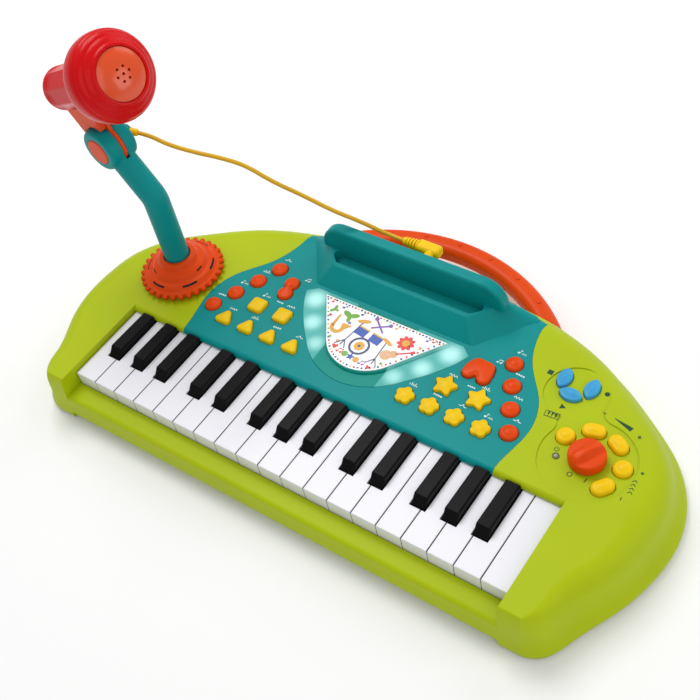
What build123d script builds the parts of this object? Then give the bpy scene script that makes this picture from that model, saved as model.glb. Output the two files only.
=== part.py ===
from build123d import *
import math
import os

os.makedirs("parts", exist_ok=True)

# ---------------------------------------------------------------------------
# Driving dimensions, in millimetres. X runs along the keys, +Y to the rear,
# +Z up. The origin is the middle of the centre foot, on the table.
# ---------------------------------------------------------------------------
key_pitch = 18.0
white_count = 19
key_gap = 0.5
front = -90.0  # y of the white keys' front edge; every depth below is added to it
key_depth = 63.0  # how much of a white key shows
key_top = 34.0
panel_top = 39.0
wall = 2.6
base = 2.0  # underside of the case, on top of the feet
rim_r = 4.0  # rounded edge of the panel behind the keys
skirt_bottom = 34.9  # how low the panel turns down behind the keys
bed_half = key_pitch * white_count / 2 + 0.5
lip_top = 23.0
lip_bottom = 7.5
lip_r = 3.5  # rounded edge of the lip in front of the keys
rear_flat = front + 187.0
rear_flat_half = 100.0

hinge_y = front + 96.0
hinge_z = 26.0
hinge_r = 2.0
running = 0.06  # radial clearance of a pin that turns

round_button_r = 6.0
button_top = 42.5
web_bottom = 32.0
web_top = 33.2
button_gap = 0.4

knob_x = 169.0
knob_y = front + 97.0
knob_r = 11.5
recess_depth = 0.8  # shallow dish around the knob and the blue buttons
knob_recess_r = 30.0
blue_x = 141.0
blue_y = front + 138.0
blue_recess_r = 21.0
level_ring_r = 21.3

collar_x = -160.0
collar_y = front + 107.0
collar_hole_r = 12.2
stand_turn = 5.6  # degrees that the stand is swivelled towards the player
arm_r = 9.0
arm_bore_r = 6.4
arm_foot_r = 7.0
arm_foot_z = 40.0
bend_z = 112.0
pivot_back = 29.8  # how far the arm leans back, from the swivel axis
pivot_z = 147.8
ear_r = 15.0
ear_half = 11.3
slot_half = 1.7
pin_r = 4.0
cap_r = 9.5

mic_tilt = 26.4  # degrees that the microphone points up
mic_forward = 73.4
mic_rise = 44.3
bell_r = 29.0
grille_r = 16.6

handle_r = 135.0  # centre line of the carry handle's arc
handle_width = 15.0
handle_z = 19.0
handle_height = 14.0
handle_centre_y = front + 92.4

cord_r = 1.5
plug_z = 63.5
plug_y = front + 185.0
rest_top = 70.0
rest_rear_y = front + 176.0

screw_places = [(190, 45), (-190, 45), (168, 148), (-168, 150), (118, 172), (-118, 172)]

# ---------------------------------------------------------------------------
# The case's outline: half of it, from the front corner round to the rear.
# ---------------------------------------------------------------------------
side_points = [
    (186, -16.5),
    (199, -9.5),
    (207, 7),
    (220, 35),
    (228, 62),
    (230, 85),
    (225, 111),
    (208, 138),
    (181, 160),
    (146, 182),
    (108, 196),
    (58, 206),
    (0, 209),
]
front_share = 0.8  # the front leans in by this much less than the sides
shoulder_r = 20.0
side_lean = 6.5


def inset_outline(distance):
    """The half outline moved inwards, less at the front than at the sides."""
    moved = []
    last = len(side_points) - 1
    for index, (x, y) in enumerate(side_points):
        if index == 0:
            along_x, along_y = 1.0, 0.0
        elif index == last:
            along_x, along_y = -1.0, 0.0
        else:
            along_x = side_points[index + 1][0] - side_points[index - 1][0]
            along_y = side_points[index + 1][1] - side_points[index - 1][1]
        length = math.hypot(along_x, along_y)
        out_x, out_y = along_y / length, -along_x / length
        step = distance * (1 - front_share * max(0.0, -out_y))
        moved.append((x - out_x * step, front + y - out_y * step))
    return moved


def case_levels(drop):
    """Heights and insets of the case's side: a lean, then a round shoulder."""
    levels = [(base, 0.0), (12.0, 3.0), (20.0, 6.2)]
    for angle in (15, 35, 55, 75, 90):
        turn = math.radians(angle)
        height = panel_top - shoulder_r + shoulder_r * math.sin(turn)
        levels.append((height, side_lean + shoulder_r * (1 - math.cos(turn))))
    return [(height - drop, inset + drop) for height, inset in levels]


def case_block(drop):
    """The case as a solid; drop shrinks it by a wall's thickness all over."""
    with BuildPart() as block:
        for height, inset in case_levels(drop):
            points = inset_outline(inset)
            with BuildSketch(Plane.XY.offset(height)):
                with BuildLine():
                    Spline(points)
                    Line(points[-1], (0, points[0][1]))
                    Line((0, points[0][1]), points[0])
                make_face()
        loft()
        mirror(about=Plane.YZ)
    return block.part


def slab(x0, x1, y0, y1, z0, z1):
    """A plain box between two corners."""
    middle = Pos((x0 + x1) / 2, (y0 + y1) / 2, (z0 + z1) / 2)
    return middle * Box(x1 - x0, y1 - y0, z1 - z0, mode=Mode.PRIVATE)


def post(x, y, radius, z0, z1):
    """A plain upright cylinder."""
    return Pos(x, y, (z0 + z1) / 2) * Cylinder(radius, z1 - z0, mode=Mode.PRIVATE)


def write(piece, label):
    """Labels a finished piece and writes it as one STEP file."""
    piece.label = label
    export_step(piece, f"parts/{label}.step")


# ---------------------------------------------------------------------------
# Outlines shared by neighbouring pieces
# ---------------------------------------------------------------------------
console_right = [
    (124, 63),
    (124.5, 72),
    (129, 98),
    (122.5, 123),
    (106.5, 144),
    (98.5, 163),
    (97.5, 187),
]
console_rear = 187.0
lens_right = [(66, 133), (58.6, 119), (43.1, 99.7), (25.7, 83.9), (0, 76.2)]
lens_corner = (59, 138.5)
card_half = 49.0
card_top = 134.3
card_centre = 117.0
card_r = 30.0


def mirrored(points):
    """The same points on the left, in reverse order."""
    return [(-x, y) for x, y in reversed(points)]


def grown(points, amount):
    """An open row of points moved to its right-hand side by an amount."""
    moved = []
    last = len(points) - 1
    for index, (x, y) in enumerate(points):
        before = points[max(index - 1, 0)]
        after = points[min(index + 1, last)]
        along_x = after[0] - before[0]
        along_y = after[1] - before[1]
        length = math.hypot(along_x, along_y)
        moved.append((x + amount * along_y / length, y - amount * along_x / length))
    return moved


def console_face(grow):
    """The console's plan outline, grown by a clearance or a flange."""
    right = grown([(x, front + y) for x, y in console_right], grow)
    right[0] = (right[0][0], front + key_depth - grow)
    right[-1] = (right[-1][0], front + console_rear + grow)
    left = mirrored(right)
    with BuildSketch() as sketch:
        with BuildLine():
            Spline(right)
            Line(right[-1], left[0])
            Spline(left)
            Line(left[-1], right[0])
        make_face()
    return sketch.sketch


def lens_face(grow):
    """The light lens's outline: two wings joined by a round bottom."""
    right = [(x, front + y) for x, y in lens_right]
    left = mirrored(right)
    round_bottom = grown(right + left[1:], -grow)
    corner = (lens_corner[0] + 0.6 * grow, front + lens_corner[1] + grow)
    with BuildSketch() as sketch:
        with BuildLine():
            Line(corner, round_bottom[0])
            Spline(round_bottom)
            Line(round_bottom[-1], (-corner[0], corner[1]))
            Line((-corner[0], corner[1]), corner)
        make_face()
    return sketch.sketch


def card_face(grow):
    """The picture card's outline: a straight top, slanted sides and a round bottom."""
    top = front + card_top
    middle = front + card_centre
    reach = math.hypot(card_half, card_top - card_centre)
    swing = math.atan2(card_top - card_centre, card_half) - math.acos(card_r / reach)
    touch = (card_r * math.cos(swing), middle + card_r * math.sin(swing))
    with BuildSketch() as sketch:
        with BuildLine():
            Line((-card_half, top), (card_half, top))
            Line((card_half, top), touch)
            ThreePointArc(touch, (0, middle - card_r), (-touch[0], touch[1]))
            Line((-touch[0], touch[1]), (-card_half, top))
        make_face()
        if grow:
            offset(amount=grow)
    return sketch.sketch


# ---------------------------------------------------------------------------
# Buttons: shapes, places, and the mouldings that join them under the panel
# ---------------------------------------------------------------------------
def round_face(grow):
    with BuildSketch() as sketch:
        Circle(round_button_r + grow)
    return sketch.sketch


def square_face(grow):
    with BuildSketch() as sketch:
        RectangleRounded(12 + 2 * grow, 12 + 2 * grow, 2.6 + grow)
    return sketch.sketch


def triangle_face(grow):
    with BuildSketch() as sketch:
        RegularPolygon(8.9 + 2 * grow, 3, rotation=90)
        fillet(sketch.vertices(), 2.4 + grow)
    return sketch.sketch


def star_face(grow):
    points = []
    for step in range(10):
        radius = 9.3 if step % 2 == 0 else 5.4
        angle = math.radians(90 + 36 * step)
        points.append((radius * math.cos(angle), radius * math.sin(angle)))
    with BuildSketch() as sketch:
        Polygon(*points, align=None)
        fillet(sketch.vertices(), 1.3)
        if grow:
            offset(amount=grow)
    return sketch.sketch


def flower_face(grow):
    with BuildSketch() as sketch:
        Circle(4.6 + grow)
        with PolarLocations(3.7, 5, start_angle=90):
            Circle(3.0 + grow)
        fillet(sketch.vertices(), 1.0)
    return sketch.sketch


def leaf_face(grow):
    half_length = 8.0 + grow
    half_width = 4.7 + grow
    bow = (half_length**2 - half_width**2) / (2 * half_width)
    radius = half_width + bow
    with BuildSketch() as sketch:
        with Locations((0, bow)):
            Circle(radius)
        with Locations((0, -bow)):
            Circle(radius, mode=Mode.INTERSECT)
        fillet(sketch.vertices(), 1.6)
    return sketch.sketch


def twin_face(grow):
    with BuildSketch() as sketch:
        with Locations((-0.5, 4.9), (0.5, -4.9)):
            Circle(5.6)
        fillet(sketch.vertices(), 1.4)
        if grow:
            offset(amount=grow)
    return sketch.sketch


def lobed_face(grow):
    with BuildSketch() as sketch:
        with Locations((-5.4, 0), (5.4, 0), (-3.4, 4.4), (4.4, 4.0)):
            Circle(4.8)
        make_hull()
        with Locations((-5.4, -3.6), (5.6, -4.2)):
            Circle(4.8)
        if grow:
            offset(amount=grow)
    return sketch.sketch


def bean_face(grow):
    with BuildSketch() as sketch:
        with Locations((-level_ring_r, 0)):
            SlotArc(CenterArc((0, 0), level_ring_r, -6.7, 13.4), 9.8 + 2 * grow)
    return sketch.sketch


def level_spot(angle):
    """A place on the ring of buttons about the knob."""
    turn = math.radians(angle)
    x = knob_x + level_ring_r * math.cos(turn)
    y = knob_y - front + level_ring_r * math.sin(turn)
    return x, y


orange_places = []
for round_x, round_y in ((119, 92), (111, 108), (103, 124.3), (95.5, 140.5)):
    orange_places.append((round_face, -round_x, round_y, 0))
    orange_places.append((round_face, round_x, round_y, 0))
orange_places.append((twin_face, -78.3, 127.9, 0))
orange_places.append((lobed_face, 78.4, 125.2, 0))

yellow_places = []
for triangle_x in (-102.7, -83.2, -63.8, -44.5):
    yellow_places.append((triangle_face, triangle_x, 84.8, 0))
for square_x in (-88.5, -66.5):
    yellow_places.append((square_face, square_x, 105, 0))
for flower_x in (46.8, 65.0, 83.4, 102.2):
    yellow_places.append((flower_face, flower_x, 86.4, 0))
for star_x in (65.6, 89.6):
    yellow_places.append((star_face, star_x, 105, 0))

blue_places = [
    (leaf_face, 128.7, 145.4, 90),
    (leaf_face, 137.9, 135.2, 0),
    (leaf_face, 147.7, 145.1, 90),
]
level_places = []
for level_angle in (154, 106, 58, 10, -38):
    spot_x, spot_y = level_spot(level_angle)
    shape = round_face if level_angle in (154, 10) else bean_face
    level_places.append((shape, spot_x, spot_y, level_angle))


def openings(places, z0, z1):
    """The holes that a group of buttons comes up through."""
    with BuildPart() as holes:
        for shape, x, y, turn in places:
            outline = shape(button_gap)
            with BuildSketch(Plane((x, front + y, z0)).rotated((0, 0, turn))):
                add(outline)
            extrude(amount=z1 - z0)
    return holes.part


top_rounding = {
    round_face: 2.4,
    square_face: 2.2,
    triangle_face: 2.0,
    star_face: 1.1,
    flower_face: 1.3,
    leaf_face: 1.3,
    twin_face: 1.6,
    lobed_face: 1.4,
    bean_face: 2.4,
}


def stud(shape, x, y, turn):
    """One button's body, rounded over at its top."""
    outline = shape(0)
    with BuildPart() as body:
        with BuildSketch(Plane((x, front + y, web_top)).rotated((0, 0, turn))):
            add(outline)
        extrude(amount=button_top - web_top)
        fillet(body.faces().sort_by(Axis.Z)[-1].edges(), top_rounding[shape])
    return body.part


def button_group(places, web):
    """A group's buttons, standing on the thin web that joins them."""
    studs = [stud(*place) for place in places]
    with BuildPart() as group:
        with BuildSketch(Plane.XY.offset(web_bottom)):
            add(web)
        extrude(amount=web_top - web_bottom)
        add(studs)
    return group.part


def strip(points, width):
    """A flat ribbon along a row of points, one bar and one round joint at a time."""
    with BuildSketch() as ribbon:
        for start, end in zip(points[:-1], points[1:]):
            middle = ((start[0] + end[0]) / 2, front + (start[1] + end[1]) / 2)
            length = math.hypot(end[0] - start[0], end[1] - start[1])
            turn = math.degrees(math.atan2(end[1] - start[1], end[0] - start[0]))
            with Locations(Location(middle, turn)):
                Rectangle(length, width)
        with Locations(*[(x, front + y) for x, y in points]):
            Circle(width / 2)
    return ribbon.sketch


# ---------------------------------------------------------------------------
# Upper case: one green shell with the key bed cut through its front
# ---------------------------------------------------------------------------
outer_block = case_block(0)
inner_block = case_block(wall)
case_rim = outer_block - slab(-rear_flat_half, rear_flat_half, rear_flat, 200, -10, 60)
bed_wall = bed_half + 2.4

with BuildPart() as hollow:
    add(inner_block)
    add(slab(-rear_flat_half - wall, rear_flat_half + wall, rear_flat - wall, 200, -10, 60), mode=Mode.SUBTRACT)
    add(slab(-bed_wall, bed_wall, -150, front - 0.5, lip_top - wall, 60), mode=Mode.SUBTRACT)
    add(slab(-bed_wall, bed_wall, -150, front - 6 + wall, -10, lip_bottom + wall), mode=Mode.SUBTRACT)
    for side in (-1, 1):
        inner = side * bed_half
        outer = side * bed_wall
        low, high = min(inner, outer), max(inner, outer)
        add(slab(low, high, -150, front + key_depth + wall, 8, 60), mode=Mode.SUBTRACT)
    add(
        slab(-bed_half, bed_half, front + key_depth, front + key_depth + wall, skirt_bottom, 60),
        mode=Mode.SUBTRACT,
    )
    for x, y in screw_places:
        add(post(x, front + y, 4.5, 8, 60), mode=Mode.SUBTRACT)

with BuildPart() as bed_cut:
    add(slab(-bed_half, bed_half, -150, front + key_depth, lip_top, 60))

handle_section = Plane(
    (
        handle_r * math.cos(math.radians(44)),
        handle_centre_y + handle_r * math.sin(math.radians(44)),
        handle_z,
    ),
    x_dir=(math.cos(math.radians(44)), math.sin(math.radians(44)), 0),
    z_dir=(-math.sin(math.radians(44)), math.cos(math.radians(44)), 0),
)


def handle_bar(grow):
    """The carry handle's bar: a rounded section swept along its arc."""
    with BuildPart() as bar:
        with BuildLine():
            CenterArc((0, handle_centre_y, handle_z), handle_r, 44, 92)
        with BuildSketch(handle_section):
            RectangleRounded(handle_width + 2 * grow, handle_height + 2 * grow, 5.5)
        sweep()
    return bar.part


with BuildPart() as recess:
    with BuildSketch(Plane.XY.offset(panel_top - recess_depth)) as recess_plan:
        with Locations((knob_x, knob_y)):
            Circle(knob_recess_r)
        with Locations((blue_x, blue_y)):
            Circle(blue_recess_r)
        creases = recess_plan.vertices().filter_by(
            lambda v: abs(math.hypot(v.X - knob_x, v.Y - knob_y) - knob_recess_r) < 0.01
            and abs(math.hypot(v.X - blue_x, v.Y - blue_y) - blue_recess_r) < 0.01
        )
        fillet(creases, 9)
    extrude(amount=2)
recess = recess.part

with BuildPart() as upper_case:
    add(outer_block)
    add(slab(-rear_flat_half, rear_flat_half, rear_flat, 200, -10, 60), mode=Mode.SUBTRACT)
    add(slab(-bed_half, bed_half, -150, front - 6, -10, lip_bottom), mode=Mode.SUBTRACT)
    add(bed_cut.part, mode=Mode.SUBTRACT)
    rear_rim = (
        upper_case.edges()
        .filter_by(Axis.X)
        .filter_by(lambda e: abs(e.center().Y - front - key_depth) < 0.01)
        .filter_by(lambda e: abs(e.center().Z - panel_top) < 0.3)
    )
    fillet(rear_rim, rim_r)
    lip_rim = (
        upper_case.edges()
        .filter_by(lambda e: abs(e.center().Z - lip_top) < 0.05)
        .filter_by(lambda e: e.center().Y < front - 6)
        .filter_by(lambda e: e.length > 100)
    )
    fillet(lip_rim, lip_r)
    add(hollow.part, mode=Mode.SUBTRACT)
    with BuildSketch(Plane.XY.offset(34)):
        add(console_face(0.15))
        with Locations((0, front + 190)):
            Rectangle(400, 40, mode=Mode.SUBTRACT)
    extrude(amount=20, mode=Mode.SUBTRACT)
    with BuildSketch(Plane.XY.offset(panel_top - wall - 0.1)):
        add(console_face(0.15))
    extrude(amount=20, mode=Mode.SUBTRACT)
    add(post(collar_x, collar_y, collar_hole_r, 30, 45), mode=Mode.SUBTRACT)
    add(post(knob_x, knob_y, 4.0 + running, 30, 45), mode=Mode.SUBTRACT)
    add(recess, mode=Mode.SUBTRACT)
    add(openings(blue_places, 30, 45), mode=Mode.SUBTRACT)
    add(openings(level_places, 30, 45), mode=Mode.SUBTRACT)
    add(handle_bar(0.15), mode=Mode.SUBTRACT)
    for x, y in screw_places:
        add(post(x, front + y, 1.2, 0, 20), mode=Mode.SUBTRACT)

write(upper_case.part, "upper_case")

# ---------------------------------------------------------------------------
# Console panel: the teal deck with the music rest moulded into it
# ---------------------------------------------------------------------------
rest_low = [(-64, 141), (64, 141), (95, 184), (-95, 184)]
rest_high = [(-54, 152.5), (54, 152.5), (74, 178), (-74, 178)]
rest_shelf = 52.0
trough_floor = 45.0
trough_corners = [(-54, 155.5), (54, 155.5), (66, 167), (-66, 167)]

with BuildPart() as rest_mound:
    for height, corners in ((panel_top - 0.5, rest_low), (rest_shelf, rest_high)):
        with BuildSketch(Plane.XY.offset(height)):
            Polygon(*[(x, front + y) for x, y in corners], align=None)
    loft()
    corners = rest_mound.edges().filter_by(lambda e: 40 < e.center().Z < 50)
    fillet(corners, 6)
    fillet(rest_mound.faces().sort_by(Axis.Z)[-1].edges(), 1.8)

with BuildPart() as rest_wall:
    with BuildSketch(Plane.XZ.offset(-rest_rear_y)):
        with BuildLine():
            Polyline((-57, rest_top), (57, rest_top))
            ThreePointArc((57, rest_top), (68.5, 64.5), (73, rest_shelf - 1))
            Polyline((73, rest_shelf - 1), (-73, rest_shelf - 1))
            ThreePointArc((-73, rest_shelf - 1), (-68.5, 64.5), (-57, rest_top))
        make_face()
    extrude(amount=9)
    rounded = rest_wall.edges().filter_by(lambda e: e.center().Z > rest_shelf)
    fillet(rounded, 2.2)

with BuildPart() as console_panel:
    with BuildSketch(Plane.XY.offset(panel_top - wall)):
        add(console_face(0))
    extrude(amount=wall)
    with BuildSketch(Plane.XY.offset(skirt_bottom)):
        add(console_face(0))
        with Locations((0, front + key_depth)):
            Rectangle(400, 2 * wall, mode=Mode.INTERSECT)
    extrude(amount=panel_top - wall - skirt_bottom)
    front_rim = (
        console_panel.edges()
        .filter_by(Axis.X)
        .filter_by(lambda e: abs(e.center().Y - front - key_depth) < 0.01)
        .group_by(Axis.Z)[-1]
    )
    fillet(front_rim, rim_r)
    add(case_rim, mode=Mode.INTERSECT)
    with BuildSketch(Plane.XY.offset(panel_top - wall - 2.2)):
        add(console_face(3.5))
        with Locations((0, front + key_depth - 10)):
            Rectangle(400, 40, mode=Mode.SUBTRACT)
        with Locations((0, front + 180)):
            Rectangle(400, 40, mode=Mode.SUBTRACT)
    extrude(amount=2.2)
    add(rest_mound.part)
    add(rest_wall.part)
    with BuildSketch(Plane.XY.offset(trough_floor)) as trough_plan:
        Polygon(*[(x, front + y) for x, y in trough_corners], align=None)
        fillet(trough_plan.vertices(), 4)
    extrude(amount=30, mode=Mode.SUBTRACT)
    add(slab(-118, 118, front + key_depth + wall, front + 177, 20, panel_top - wall), mode=Mode.SUBTRACT)
    add(slab(-92, 92, front + 110, rear_flat - wall - 2.5, 20, panel_top - wall), mode=Mode.SUBTRACT)
    add(slab(-60, 60, front + 146, front + 174, 20, trough_floor - wall), mode=Mode.SUBTRACT)
    with BuildSketch(Plane.XY.offset(20)):
        add(lens_face(0.2))
    extrude(amount=panel_top - 20 + 5, mode=Mode.SUBTRACT)
    add(openings(orange_places, 30, 60), mode=Mode.SUBTRACT)
    add(openings(yellow_places, 30, 60), mode=Mode.SUBTRACT)
    with Locations(Location((9, rest_rear_y, plug_z), (90, 0, 0))):
        Cylinder(1.8, 15, mode=Mode.SUBTRACT)

write(console_panel.part, "console_panel")

# ---------------------------------------------------------------------------
# Light lens and the picture card on its middle
# ---------------------------------------------------------------------------
lens_top = 39.3
card_seat = 41.2

with BuildPart() as light_lens:
    with BuildSketch(Plane.XY.offset(panel_top - wall)):
        add(lens_face(0))
    extrude(amount=lens_top - panel_top + wall)
    with BuildSketch(Plane.XY.offset(lens_top)):
        add(card_face(1.2))
    extrude(amount=card_seat - lens_top)
    rims = light_lens.faces().filter_by(Axis.Z).sort_by(Axis.Z)[-1].edges()
    chamfer(rims, 0.8)
    with BuildSketch(Plane.XY.offset(panel_top - wall - 1.5)):
        add(lens_face(2.5))
    extrude(amount=1.5)

with BuildPart() as picture_card:
    with BuildSketch(Plane.XY.offset(card_seat)):
        add(card_face(0))
    extrude(amount=0.7)

write(light_lens.part, "light_lens")
write(picture_card.part, "picture_card")

# ---------------------------------------------------------------------------
# Button mouldings
# ---------------------------------------------------------------------------
orange_web = (
    strip([(-119, 92), (-111, 108), (-103, 124.3), (-95.5, 140.5), (-78.3, 145), (0, 146), (78.4, 145)], 8)
    + strip([(78.4, 145), (95.5, 140.5), (103, 124.3), (111, 108), (119, 92)], 8)
    + strip([(-78.3, 145), (-78.3, 123)], 8)
    + strip([(78.4, 145), (78.4, 121)], 8)
)
yellow_web = (
    strip([(-104, 71.5), (104, 71.5)], 6)
    + strip([(-104, 84.8), (-44.5, 84.8)], 8)
    + strip([(46.8, 86.4), (102.2, 86.4)], 8)
    + strip([(-83.2, 71.5), (-83.2, 105)], 8)
    + strip([(83.4, 71.5), (83.4, 105)], 8)
    + strip([(-88.5, 105), (-66.5, 105)], 8)
    + strip([(65.6, 105), (89.6, 105)], 8)
)
blue_web = strip([(128.7, 145.4), (137.9, 135.2), (147.7, 145.1)], 9)
level_spots = [level_spot(angle) for angle in range(-38, 155, 16)]
level_web = strip(level_spots, 8)

orange_buttons = button_group(orange_places, orange_web)
yellow_buttons = button_group(yellow_places, yellow_web)
blue_buttons = button_group(blue_places, blue_web)
level_buttons = button_group(level_places, level_web)
write(orange_buttons, "orange_buttons")
write(yellow_buttons, "yellow_buttons")
write(blue_buttons, "blue_buttons")
write(level_buttons, "level_buttons")

# ---------------------------------------------------------------------------
# Power knob, turning in the panel
# ---------------------------------------------------------------------------
with BuildPart() as power_knob:
    add(post(knob_x, knob_y, knob_r, panel_top + 0.4, 46.5))
    fillet(power_knob.edges().filter_by(GeomType.CIRCLE).sort_by(Axis.Z)[-1], 3.5)
    with BuildSketch(Plane((knob_x, knob_y, 42)).rotated((0, 0, 62))):
        SlotOverall(21.5, 6.5)
    extrude(amount=8.2)
    fillet(power_knob.faces().filter_by(Axis.Z).sort_by(Axis.Z)[-1].edges(), 2.0)
    add(post(knob_x, knob_y, 4.0, 30, panel_top + 0.4))

write(power_knob.part, "power_knob")

# ---------------------------------------------------------------------------
# Keys: each a hollow moulding with a tail that turns on the hinge rod
# ---------------------------------------------------------------------------
key_names = "FGABCDE"
black_shift = {"F": -2.7, "G": 0.8, "A": 4.0, "C": -1.2, "D": 2.6}
black_width = 10.0
black_front = 23.3
neck_gap = 0.6
key_bottom = 20.0
key_wall = 1.5
neck_end = 65.0
tail_low = 23.0
tail_high = 29.0
tail_width = 6.0


def bed_x(index):
    """The x of the boundary on the left of a white key."""
    return key_pitch * (index - white_count / 2)


def key_tail(middle):
    """The narrow rear of a key, bored for the hinge rod."""
    with BuildPart() as tail:
        with BuildSketch(Plane.YZ.offset(middle - tail_width / 2)):
            with BuildLine():
                Polyline(
                    (hinge_y, tail_low),
                    (front + 58, tail_low),
                    (front + 58, tail_high),
                    (hinge_y, tail_high),
                )
                ThreePointArc((hinge_y, tail_high), (hinge_y + 3, hinge_z), (hinge_y, tail_low))
            make_face()
            with Locations((hinge_y, hinge_z)):
                Circle(hinge_r + running, mode=Mode.SUBTRACT)
        extrude(amount=tail_width)
    return tail.part


def white_key(index):
    """One white key, notched for the black keys beside it."""
    left = bed_x(index) + key_gap / 2
    right = bed_x(index + 1) - key_gap / 2
    neck_left, neck_right = left, right
    before = key_names[(index - 1) % 7]
    after = key_names[index % 7]
    if index > 0 and before in black_shift:
        neck_left = bed_x(index) + black_shift[before] + black_width / 2 + neck_gap
    if index < white_count - 1 and after in black_shift:
        neck_right = bed_x(index + 1) + black_shift[after] - black_width / 2 - neck_gap
    notch = front + black_front - 0.9
    tail = key_tail((neck_left + neck_right) / 2)
    with BuildPart() as key:
        with BuildSketch(Plane.XY.offset(key_bottom)) as plan:
            with Locations(((left + right) / 2, (front + notch) / 2)):
                Rectangle(right - left, notch - front)
            with Locations(((neck_left + neck_right) / 2, (notch + front + neck_end) / 2)):
                Rectangle(neck_right - neck_left, front + neck_end - notch)
        extrude(amount=key_top - key_bottom)
        fillet(key.faces().sort_by(Axis.Z)[-1].edges(), 0.5)
        with BuildSketch(Plane.XY.offset(key_bottom)):
            add(plan.sketch)
            offset(amount=-key_wall)
        extrude(amount=key_top - key_bottom - 2, mode=Mode.SUBTRACT)
        add(tail)
    return key.part


def black_key(boundary, shift):
    """One black key: a sloped front, a narrow flat top and the same tail."""
    middle = boundary + shift
    tail = key_tail(middle)
    half = black_width / 2
    with BuildPart() as key:
        with BuildSketch(Plane.YZ.offset(middle - half)):
            Polygon(
                (front + black_front, 23),
                (front + black_front, key_top),
                (front + black_front + 4.6, key_top + 5.9),
                (front + 62.4, key_top + 5.2),
                (front + 62.4, 23),
                align=None,
            )
        extrude(amount=black_width)
        rims = key.edges().filter_by(lambda e: e.center().Z > key_top - 5.1 and e.center().Y < front + 62)
        fillet(rims.filter_by(lambda e: e.center().Z > key_top), 1.3)
        add(
            slab(middle - half + 1.6, middle + half - 1.6, front + black_front + 2.2, front + 60.5, 20, key_top + 1),
            mode=Mode.SUBTRACT,
        )
        add(tail)
    return key.part


for index in range(white_count):
    write(white_key(index), f"white_key_{index + 1:02d}")

black_number = 0
for index in range(white_count - 1):
    name = key_names[index % 7]
    if name in black_shift:
        black_number += 1
        write(black_key(bed_x(index + 1), black_shift[name]), f"black_key_{black_number:02d}")

rod_half = 177.0
with BuildPart() as key_rod:
    with BuildSketch(Plane.YZ.offset(-rod_half)):
        with Locations((hinge_y, hinge_z)):
            Circle(hinge_r)
    extrude(amount=2 * rod_half)
write(key_rod.part, "key_hinge_rod")

# ---------------------------------------------------------------------------
# Lower case: the floor, the key rails, the rod's posts and the battery bay
# ---------------------------------------------------------------------------
floor_top = 4.6
floor_inset = 3.8
battery_box = (-62, 62, 118, 172)
bay_top = 21.0
speaker_x = 128.0
speaker_y = 128.0
speaker_r = 26.0

with BuildPart() as lower_case:
    floor_points = inset_outline(floor_inset)
    with BuildSketch(Plane.XY.offset(base)):
        with BuildLine():
            Spline(floor_points)
            Line(floor_points[-1], (0, floor_points[0][1]))
            Line((0, floor_points[0][1]), floor_points[0])
        make_face()
    extrude(amount=floor_top - base)
    mirror(about=Plane.YZ)
    add(slab(-bed_half - 3, bed_half + 3, -150, front - 6 + wall + 0.4, -10, 60), mode=Mode.SUBTRACT)
    add(slab(-rear_flat_half - 3.2, rear_flat_half + 3.2, rear_flat - 3, 200, -10, 60), mode=Mode.SUBTRACT)
    add(slab(-168, 168, front + 6, front + 9, floor_top, 15.0))
    add(slab(-168, 168, front + 42, front + 56, floor_top, 14.0))
    for side in (-1, 1):
        x = side * 175.0
        add(slab(x - 2, x + 2, hinge_y - 5, hinge_y + 5, floor_top, hinge_z + 5))
    with BuildSketch(Plane.YZ.offset(-200)):
        with Locations((hinge_y, hinge_z)):
            Circle(hinge_r)
    extrude(amount=400, mode=Mode.SUBTRACT)
    for x, y in screw_places:
        add(post(x, front + y, 4.5, floor_top, 8))
    x0, x1, y0, y1 = battery_box
    add(slab(x0 - 2, x1 + 2, front + y0 - 2, front + y1 + 2, floor_top, bay_top))
    add(slab(x0, x1, front + y0, front + y1, -10, bay_top - 2), mode=Mode.SUBTRACT)
    for x, y in screw_places:
        add(post(x, front + y, 1.3, -10, 60), mode=Mode.SUBTRACT)
        add(post(x, front + y, 2.8, -10, 3.0), mode=Mode.SUBTRACT)
    with Locations((speaker_x, front + speaker_y, base)):
        with GridLocations(7, 7, 6, 6):
            Cylinder(1.6, 10, mode=Mode.SUBTRACT)
write(lower_case.part, "lower_case")

with BuildPart() as battery_door:
    add(slab(x0 + 0.3, x1 - 0.3, front + y0 + 0.3, front + y1 - 0.3, base, floor_top))
    fillet(battery_door.edges().filter_by(Axis.Z), 3.0)
    with Locations((0, front + (y0 + y1) / 2, base)):
        with GridLocations(0, 6, 1, 4):
            Box(30, 1.6, 1.2, mode=Mode.SUBTRACT)
write(battery_door.part, "battery_door")

with BuildPart() as speaker:
    with BuildSketch(Plane.XZ.offset(-front - speaker_y)):
        with BuildLine():
            Polyline(
                (speaker_x, 9),
                (speaker_x + 6, 9),
                (speaker_x + 22, floor_top + 1.5),
                (speaker_x + speaker_r, floor_top),
                (speaker_x + speaker_r, floor_top + 3),
                (speaker_x + 12, 13),
                (speaker_x + 12, 19),
                (speaker_x, 19),
                close=True,
            )
        make_face()
    revolve(axis=Axis((speaker_x, front + speaker_y, 0), (0, 0, 1)))
write(speaker.part, "speaker")

with BuildPart() as circuit_board:
    with BuildSketch(Plane.XY.offset(24)):
        with Locations((-18, front + 146)):
            Rectangle(96, 44)
            with GridLocations(88, 36, 2, 2):
                Circle(1.6, mode=Mode.SUBTRACT)
    extrude(amount=1.6)
    with Locations((-30, front + 146, 26.6), (0, front + 138, 26.6), (6, front + 156, 26.6)):
        Box(14, 9, 2)
write(circuit_board.part, "circuit_board")

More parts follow.
